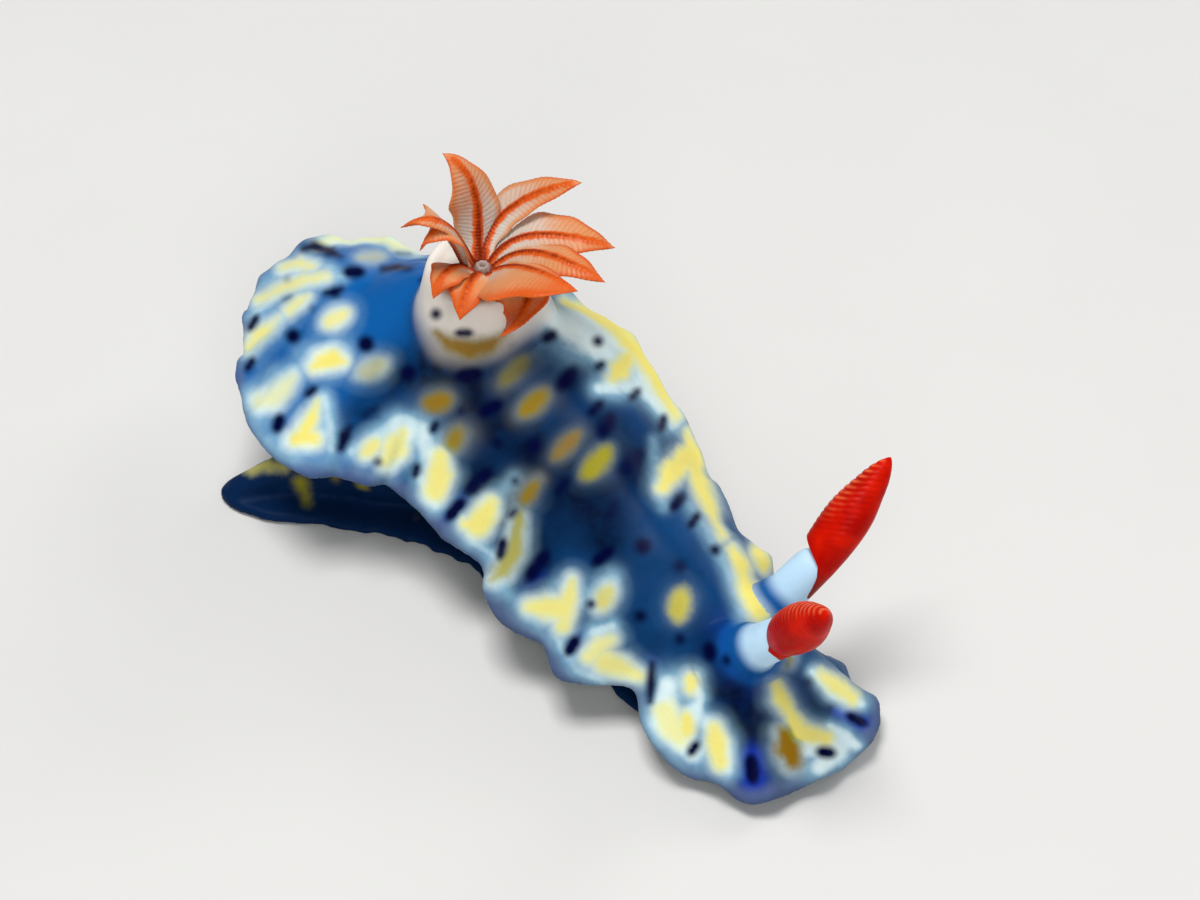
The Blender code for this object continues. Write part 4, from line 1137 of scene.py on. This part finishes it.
look.glaze(look.read("hood"), ROYAL_BLUE)
look.glaze(look.ramp(patches, 0.35, 0.7, 0.0, 0.2), ROYAL_BLUE)
look.glaze(uneven("navy", 0.15), NAVY_BLUE)
# Painted shade: below the mantle's top, on its underside, the flanks and the foot, the blue is darkened
# towards deep navy.
look.glaze(look.ramp(look.read("below"), 0.4, 1.0, 0.0, 0.85), UNDERSIDE_SHADE_NAVY)
look.glaze(look.read("electric"), ULTRAMARINE)
rim_width = look.work_out("ADD", look.read("rim"), look.work_out("MULTIPLY_ADD", patches, 0.3, -0.15))
look.glaze(look.ramp(rim_width, 0.35, 0.0, 0.0, 0.6), RIM_LILAC)
look.glaze(uneven("tan", 0.2), TAN_GREY)
look.glaze(uneven("pale", 0.2), PALE_BLUE)
look.glaze(look.ramp(uneven("pale", 0.06), 0.5, 1.05, 0.0, 0.9), MILK_WHITE)
look.glaze(look.work_out("MULTIPLY", uneven("glow", 0.2), 0.7), PALE_BLUE)
whitening = look.ramp(patches, 0.3, 0.65, 0.45, 0.95)
look.glaze(look.work_out("MULTIPLY", uneven("halo", 0.2), whitening), MILK_WHITE)
look.glaze(look.read("collar"), COLLAR_GREY)
look.glaze(look.read("stalk"), STALK_WHITE)
print("glazes under the patches:", len(look.tree.nodes), "nodes")

# %% [markdown]
# A yellow patch is deeper in its heart than at its edge, and its tone decides which of two pairs of
# colours it has. The dark spots lie over everything else. Fine pores roughen the gloss.

# %% Lay the yellow patches and the dark spots on top
yellow_depth = look.work_out("ADD", look.read("yellow"), edge_shift)
heart = look.ramp(yellow_depth, 0.0, -0.42)
paling = look.ramp(yellow_depth, -0.2, 0.15, 0.0, 0.7)
tone = look.read("tone")
cream_share = look.work_out("MAXIMUM", look.work_out("MULTIPLY", tone, -1.0), paling)
bright = look.mix(cream_share, look.mix(heart, LEMON, LEMON_HEART), CREAM)
dull = look.mix(heart, MUSTARD, MUSTARD_HEART)
patch_colour = look.mix(look.ramp(tone, 0.0, 0.5), bright, OLIVE)
patch_colour = look.mix(look.ramp(tone, 0.5, 0.9), patch_colour, dull)
cover = look.work_out("MULTIPLY", look.ramp(yellow_depth, 0.26, -0.3), look.read("strength"))
look.glaze(cover, patch_colour)
ink_depth = look.work_out("ADD", look.read("ink"), look.work_out("MULTIPLY", edge_shift, 0.25))
look.glaze(look.ramp(ink_depth, 0.03, 0.85), SPOT_BLACK)

pores = look.work_out("MULTIPLY", look.noise(7000), 0.4)
relief = look.bump(look.work_out("MULTIPLY_ADD", mottling, 0.6, pores), 0.25, 0.00012)
look.put_on([skin], {
    "Normal": relief, "Roughness": look.ramp(mottling, 0.2, 0.8, 0.34, 0.5),
    "IOR": 1.3, "Specular IOR Level": 0.05, "Subsurface Weight": 0.12,
    "Subsurface Radius": (0.5, 0.7, 1.0), "Subsurface Scale": 0.0002,
    "Coat IOR": 1.3, "Coat Weight": 0.05, "Coat Roughness": 0.3})
FLESH = ("mantle", "flank", "foot", "head", "tail", "oral", "rhinophore_stalk", "gill_collar")
SKIN_NODES = [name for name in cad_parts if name.startswith(FLESH)]
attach(skin, "root")
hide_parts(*SKIN_NODES)
print("skin stands for", len(SKIN_NODES), "solids")

# %% [markdown]
# ## The clubs of the rhinophores
#
# The club that smells the water is wound with thin, slanting leaves called lamellae. It is a tube of
# rings again. Its outline swells and shrinks once for every lamella, and the leaves slant, so that
# they sit higher on the front. The red runs down the front of the stalk as a narrow tongue.

# %% Shape a club
STALK_LENGTH = 2.6
CLUB_ROOT = 0.3
CLUB_SLANT = 0.4
CLUB_TONGUE = 1.5
CLUB_LENGTH = 4.8
CLUB_RADIUS = 0.9
CLUB_FRONT = (0.45, -0.54, -0.7)
CLUB_ROWS = 200
CLUB_SIDES = 88
LAMELLA_PITCH = 0.25
LAMELLA_TILT = 0.5
LAMELLA_DEPTH = 0.032
LAMELLA_EDGE = 0.2
CLUB_TIP = 0.02
TONGUE_WIDTH = 0.6


def club_swelling(part):
    """The share of its full radius that a club has along its length, with a tapering tip."""
    swelling = 0.86 + 0.14 * np.sin(math.pi * np.clip(part / 0.7, 0, 1))
    return swelling * (1 - np.clip((part - 0.4) / 0.6, 0, 1) ** 2.0) ** 0.7


def make_club(side, base, lean, club_lean):
    """One club on the end of its stalk, with its front turned to the slug's front."""
    stalk_way, axis = (np.array(Vector(way).normalized()) for way in (lean, club_lean))
    front = np.array(CLUB_FRONT)
    front -= axis * (front @ axis)
    front /= np.linalg.norm(front)
    aside = np.cross(front, axis)
    top = on_back(base) + STALK_LENGTH * stalk_way

    t = np.linspace(0, 1, CLUB_ROWS + 1)[:, None]
    turn = np.linspace(-math.pi, math.pi, CLUB_SIDES + 1)[None, :]
    rear = -np.cos(turn)
    root = CLUB_ROOT + CLUB_SLANT * rear - CLUB_TONGUE * np.exp(-((turn / TONGUE_WIDTH) ** 2))
    z = root + (CLUB_LENGTH - root) * t
    swell = club_swelling(np.clip(z / CLUB_LENGTH, 0, 1))
    phase = ((z + LAMELLA_TILT * swell * rear) / LAMELLA_PITCH) % 1.0
    leaf = 1 - np.exp(-((np.minimum(phase, 1 - phase) / LAMELLA_EDGE) ** 2))
    winding = soft_step(-1.0, -0.5, rear) * soft_step(0.3, 2.2, z) * soft_step(1.0, 0.97, t)
    leaf_depth = LAMELLA_DEPTH * (1 - winding * (1 - leaf)) * np.minimum(1, swell * 2)
    radius = (CLUB_RADIUS - LAMELLA_DEPTH) * swell + leaf_depth
    radius = np.where(t > 0.999, CLUB_TIP, radius)
    crest = np.exp(-(((phase - 0.5) / LAMELLA_EDGE) ** 2)) * winding

    middle = top + np.where(z[..., None] > 0, axis, stalk_way) * z[..., None]
    outwards_way = np.cos(turn)[..., None] * front + np.sin(turn)[..., None] * aside
    places = middle + radius[..., None] * outwards_way
    tags = {"crest": crest, "rear": rear, "height": z}
    club = grid_piece("rhinophore_club_" + side + "_skin", places, tags)
    close_up(club, FINE_MERGE)
    finish_piece(club)
    return club


clubs = [make_club(side, *measures) for side, measures in RHINOPHORES.items()]
print("clubs:", [len(club.data.polygons) for club in clubs], "faces")

# %% Give the clubs a scarlet, wet material with painted highlights and a painted shade at the root
CLUB_SCARLET = (0.42, 0.0025, 0.0005)
CLUB_RED = (0.64, 0.009, 0.0008)
# Orange of the painted highlights on the lamella crests
CLUB_HIGHLIGHT_ORANGE = (0.85, 0.17, 0.06)
# Brown of the painted shade at the club's root
CLUB_ROOT_SHADE_BROWN = (0.2, 0.025, 0.012)

look = Look("club_scarlet", CLUB_SCARLET)
grain = look.noise(2600)
look.glaze(look.ramp(look.noise(900, detail=2.0), 0.3, 0.7), CLUB_RED)
# Painted highlights: orange lines on the lamella crests of the club's upper face, above its root, where
# the light catches them.
painted_highlights = look.work_out("MULTIPLY", look.read("crest"), look.ramp(look.read("rear"), 0.0, 0.85))
painted_highlights = look.work_out("MULTIPLY", painted_highlights, look.ramp(look.read("height"), 1.2, 2.8))
painted_highlights = look.work_out("MULTIPLY", painted_highlights, look.ramp(grain, 0.3, 0.6, 0.35, 0.95))
look.glaze(painted_highlights, CLUB_HIGHLIGHT_ORANGE)
# Painted shade: the root of the club and its tongue down the stalk are darkened to brown.
look.glaze(look.ramp(look.read("height"), 0.1, -0.9, 0.0, 0.8), CLUB_ROOT_SHADE_BROWN)
look.put_on(clubs, {
    "Normal": look.bump(grain, 0.2, 0.00006), "Roughness": 0.34, "Subsurface Weight": 0.15,
    "Subsurface Radius": (1.0, 0.25, 0.1), "Subsurface Scale": 0.0002, "Specular IOR Level": 0.03,
    "Coat Weight": 0.03, "Coat Roughness": 0.16})
for club, side in zip(clubs, RHINOPHORES):
    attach(club, "root")
    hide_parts("rhinophore_club_" + side)

# %% [markdown]
# ## The gill plumes
#
# Each plume is a leaf on a stiff rib. The rib rises out of the collar and bends over, and the leaf
# hangs from both sides of it in fine folds. The leaf is one closed grid, wrapped round from its
# inner face to its outer face, and the rib is a ridge along its middle. At their roots the ten
# leaves touch and make the funnel that the photograph shows.

# %% The course of a plume
# Each plume: the turns of its root and of its tip, the tip's distance and rise, how far its middle is
# lifted and bowed to its left, and how wide its leaf is to the left and to the right of the rib
PLUMES = ((157, 166, 2.47, 3.7, -1.0, -0.7, 1.05, 0.95), (121, 65, 4.09, 2.5, -1.0, 0.7, 1.05, 0.7),
          (85, 40, 4.94, 0.8, -0.2, -0.1, 1.3, 0.75), (49, 13, 5.13, 1.2, -0.3, -0.1, 0.8, 0.8),
          (13, -4, 4.97, 1.8, -0.4, -0.4, 0.5, 2.0), (-23, -39, 3.64, -0.4, -0.2, 1.5, 0.8, 1.4),
          (-59, -63, 3.4, 0.2, 0.2, 0.0, 0.8, 0.75), (-95, -84, 3.13, 0.6, 0.3, -0.1, 0.7, 0.7),
          (-131, -104, 2.74, 2.1, 1.0, 0.3, 0.9, 0.5), (-167, -121, 3.09, 2.7, 0.9, 1.2, 0.5, 1.2))
PLUME_ROOT = 0.5
PLUME_FLOOR = 1.9
PLUME_ROWS = 168
PLUME_HALF_COLUMNS = 13
PINNULES = 28
PINNULE_HEIGHT = 0.009
PINNULE_SLANT = 1.6
FINE_WAVES, FINE_WAVE = 23, 0.05
SLOW_WAVES, SLOW_WAVE = 9, 0.09
RIB_WIDTH = 0.19
RIB_HEIGHT = 0.16
LEAF_THICK = 0.07
LEAF_FOLD = 0.2
LEAF_DROOP = 0.24
LEAF_LEAN = 0.6
EDGE_THICK = 0.008
RIB_BELOW = 0.4
COLUMN_CROWDING = 1.4
REDDEST_TURN = -35
MOST_RED = 0.42
# How deep the rib is rooted, how it rises from its root and how it comes down to its tip
ROOT_SINK = 0.35
RISE_UP, RISE_OUT, RISE_BEND = 0.34, 0.26, 0.8
TIP_UP, TIP_BACK, TIP_BEND = 0.16, 0.3, 1.3


def flat_way(degrees):
    """A level direction at a turn from the X axis."""
    return np.array((math.cos(math.radians(degrees)), math.sin(math.radians(degrees)), 0.0))


def plume_course(root_turn, tip_turn, distance, rise, lift, bow, t):
    """Places along a plume's rib: up out of the collar, outwards, and over at the tip."""
    centre = np.array((*GILL_CENTRE, gill_base + PLUME_FLOOR))
    out, way, up = flat_way(root_turn), flat_way(tip_turn), np.array((0.0, 0.0, 1.0))
    root = centre + out * PLUME_ROOT - up * ROOT_SINK
    tip = centre + way * distance + up * rise
    length = np.linalg.norm(tip - root)
    middle = up * lift + np.array((-way[1], way[0], 0.0)) * bow
    rising = root + up * length * RISE_UP + out * length * RISE_OUT + middle * RISE_BEND
    bending = tip - way * length * TIP_BACK + up * length * TIP_UP + middle * TIP_BEND
    t = t[:, None]
    return root * (1 - t)**3 + rising * 3 * t * (1 - t)**2 + bending * 3 * t**2 * (1 - t) + tip * t**3


def leaf_width(t):
    """The share of its full width that a leaf has along its length, with a pointed tip."""
    swelling = 0.42 + 0.58 * soft_step(0.0, 0.45, t)
    return swelling * (1 - np.clip((t - 0.5) / 0.5, 0, 1) ** 1.6)

# %% Shape the plumes
def make_plume(index, root_turn, tip_turn, distance, rise, lift, bow, left_width, right_width):
    """One gill plume as a closed, folded leaf with its rib."""
    t = np.linspace(0, 1, PLUME_ROWS + 1)
    course = plume_course(root_turn, tip_turn, distance, rise, lift, bow, t)
    ahead = np.gradient(course, axis=0)
    ahead /= np.linalg.norm(ahead, axis=1)[:, None]
    upward = np.array((0.0, 0.0, 1.0)) - LEAF_LEAN * flat_way(tip_turn)
    inward = upward - ahead * (ahead @ upward)[:, None]
    inward /= np.linalg.norm(inward, axis=1)[:, None]
    across = np.cross(inward, ahead)

    spread = np.linspace(-1, 1, 2 * PLUME_HALF_COLUMNS + 1)
    inner = np.sign(spread) * np.abs(spread) ** COLUMN_CROWDING
    v = np.concatenate((inner, inner[::-1], inner[:1]))[None, :]
    face = np.concatenate((np.ones_like(inner), -np.ones_like(inner), (1.0,)))[None, :]
    t = t[:, None]
    side = np.sign(v)
    waves = FINE_WAVE * np.sin(FINE_WAVES * t + 2.3 * index + side)
    wobble = 1 + waves + SLOW_WAVE * np.sin(SLOW_WAVES * t + 1.7 * index + 2 * side)
    width = np.where(v > 0, left_width, right_width) * leaf_width(t) * wobble
    thick = LEAF_THICK * (1.15 - np.abs(v)) * soft_step(1.02, 0.8, t) + EDGE_THICK
    fold = width * (LEAF_FOLD * np.abs(v) - LEAF_DROOP * v**2)
    slant = PINNULES * t - PINNULE_SLANT * np.abs(v)
    pinnule = PINNULE_HEIGHT * np.sin(2 * math.pi * slant) * soft_step(0.1, 0.3, np.abs(v))
    ridge = np.exp(-((v * width / RIB_WIDTH) ** 2)) * (1 - 0.6 * t) * soft_step(1.0, 0.9, t)
    rib = RIB_HEIGHT * ridge * (1 + 0.1 * np.sin(2 * math.pi * PINNULES * 1.2 * t))
    raised = fold + pinnule + face * thick + np.where(face > 0, rib, -RIB_BELOW * rib)
    places = course[:, None, :] + across[:, None, :] * (v * width)[..., None]
    places = places + inward[:, None, :] * raised[..., None]
    redness = MOST_RED * max(math.cos(math.radians(tip_turn - REDDEST_TURN)), 0.0) + 0.0 * t
    tags = {"along": t, "across": np.abs(v), "rib": ridge, "pinnule": pinnule / PINNULE_HEIGHT,
            "redness": redness}
    plume = grid_piece("gill_plume_%02d_leaf" % (index + 1), places, tags)
    close_up(plume, FINE_MERGE)
    finish_piece(plume)
    return plume


plumes = [make_plume(index, *measures) for index, measures in enumerate(PLUMES)]
print("plumes:", len(plumes), "with", sum(len(plume.data.polygons) for plume in plumes), "faces")

# %% Give the plumes their material
LEAF_WHITE = (0.56, 0.53, 0.46)
LEAF_SALMON = (0.62, 0.27, 0.11)
LEAF_ORANGE = (0.62, 0.1, 0.014)
RIB_RUST = (0.24, 0.022, 0.003)
RIB_ORANGE = (0.64, 0.1, 0.009)

look = Look("plume_membrane", LEAF_WHITE)
along, across = look.read("along"), look.read("across")
redness = look.work_out("ADD", along, look.read("redness"))
redness = look.work_out("MULTIPLY_ADD", look.noise(1100), 0.35, redness)
redness = look.work_out("MULTIPLY_ADD", look.ramp(across, 0.6, 1.0), 0.4, redness)
look.glaze(look.ramp(redness, 0.45, 1.05), LEAF_SALMON)
look.glaze(look.ramp(redness, 1.0, 1.55), LEAF_ORANGE)
stripes = look.ramp(look.read("pinnule"), -0.2, 1.0)
look.glaze(look.work_out("MULTIPLY", stripes, look.ramp(along, 0.2, 0.7, 0.0, 0.35)), LEAF_ORANGE)
rib = look.work_out("SUBTRACT", look.read("rib"), 0.25)
rib = look.work_out("MULTIPLY_ADD", look.noise(4200, detail=2.0), 0.5, rib)
look.glaze(look.ramp(rib, 0.1, 0.4), RIB_ORANGE)
look.glaze(look.ramp(rib, 0.4, 0.8), RIB_RUST)
look.put_on(plumes, {
    "Normal": look.bump(look.noise(5200, detail=2.0), 0.15, 0.00005), "Roughness": 0.32,
    "Subsurface Weight": 0.35, "Subsurface Radius": (1.0, 0.55, 0.4), "Subsurface Scale": 0.00025,
    "Specular IOR Level": 0.1, "Coat Weight": 0.05, "Coat Roughness": 0.15})
for index, plume in enumerate(plumes):
    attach(plume, "root")
    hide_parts("gill_plume_%02d" % (index + 1))

# %% [markdown]
# ## The papilla
#
# In the middle of the funnel stands a small greyish papilla with a puckered opening. It grows from a
# disc like the stalks, and its last rings turn back down inside.

# %% Grow the papilla
PAPILLA_PROFILE = ((0.5, 1.2), (0.42, 1.5), (0.33, 1.72), (0.26, 1.86), (0.2, 1.9), (0.13, 1.87),
                   (0.08, 1.78), (0.06, 1.65))
PAPILLA_FOLDS = 8
papilla = grow_round("gill_papilla_skin", PAPILLA_PROFILE, sides=40)
places = corners(papilla)
turn = np.arctan2(places[:, 1], places[:, 0])
pucker = 1 + 0.09 * np.sin(PAPILLA_FOLDS * turn) * soft_step(1.5, 1.9, places[:, 2])
places[:, :2] *= pucker[:, None]
move_corners(papilla, places + np.array((*GILL_CENTRE, gill_base)))
close_up(papilla, FINE_MERGE)
papilla.modifiers.new("round_off", "SUBSURF").levels = 2
papilla.modifiers["round_off"].render_levels = 2
apply_modifiers(papilla)
finish_piece(papilla)

PAPILLA_GREY = (0.2, 0.14, 0.12)
PAPILLA_PALE = (0.46, 0.38, 0.33)
look = Look("papilla_grey", PAPILLA_GREY)
look.glaze(look.noise(2400), PAPILLA_PALE)
look.put_on([papilla], {"Roughness": 0.35, "Subsurface Weight": 0.3, "Subsurface Scale": 0.0003})
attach(papilla, "root")
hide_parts("gill_papilla")
print("papilla:", len(papilla.data.polygons), "faces")

# %% [markdown]
# ## Floor and light
#
# The model is shown on a plain pale floor. A broad lamp almost straight above gives soft shading like
# the photograph's, a weaker one fills the near side, a third lights the far rim, and the world fills
# the shadows.

# %% Lay the floor and hang the lamps
FLOOR_SIZE = 1.2
FLOOR_GREY = (0.64, 0.63, 0.61)
FLOOR_PALE = (0.68, 0.67, 0.65)
deselect_all()
bpy.ops.mesh.primitive_plane_add(size=FLOOR_SIZE)
floor = bpy.context.object
floor.name = "floor"
look = Look("pale_floor", FLOOR_GREY)
look.glaze(look.noise(60), FLOOR_PALE)
look.put_on([floor], {"Roughness": 0.7})

# Each lamp: its place in metres, its power in watts and its size in metres
LAMPS = {"key": ((-0.03, -0.04, 0.34), 0.98, 0.14), "fill": ((0.2, -0.2, 0.22), 0.44, 0.2),
         "rim": ((0.08, 0.3, 0.18), 0.32, 0.14)}
for name, (place, power, size) in LAMPS.items():
    deselect_all()
    turn = (-Vector(place)).to_track_quat("-Z", "Y")
    bpy.ops.object.light_add(type="AREA", location=place, rotation=turn.to_euler())
    lamp = bpy.context.object
    lamp.name = "lamp_" + name
    lamp.data.energy = power
    lamp.data.size = size

SKY_COLOUR = (0.9, 0.94, 1.0)
SKY_STRENGTH = 0.2
world = bpy.data.worlds.new("studio")
world.use_nodes = True
sky = world.node_tree.nodes["Background"]
sky.inputs["Color"].default_value = (*SKY_COLOUR, 1.0)
sky.inputs["Strength"].default_value = SKY_STRENGTH
bpy.context.scene.world = world
bpy.context.scene.view_settings.view_transform = "Standard"
print("lamps:", len(LAMPS))
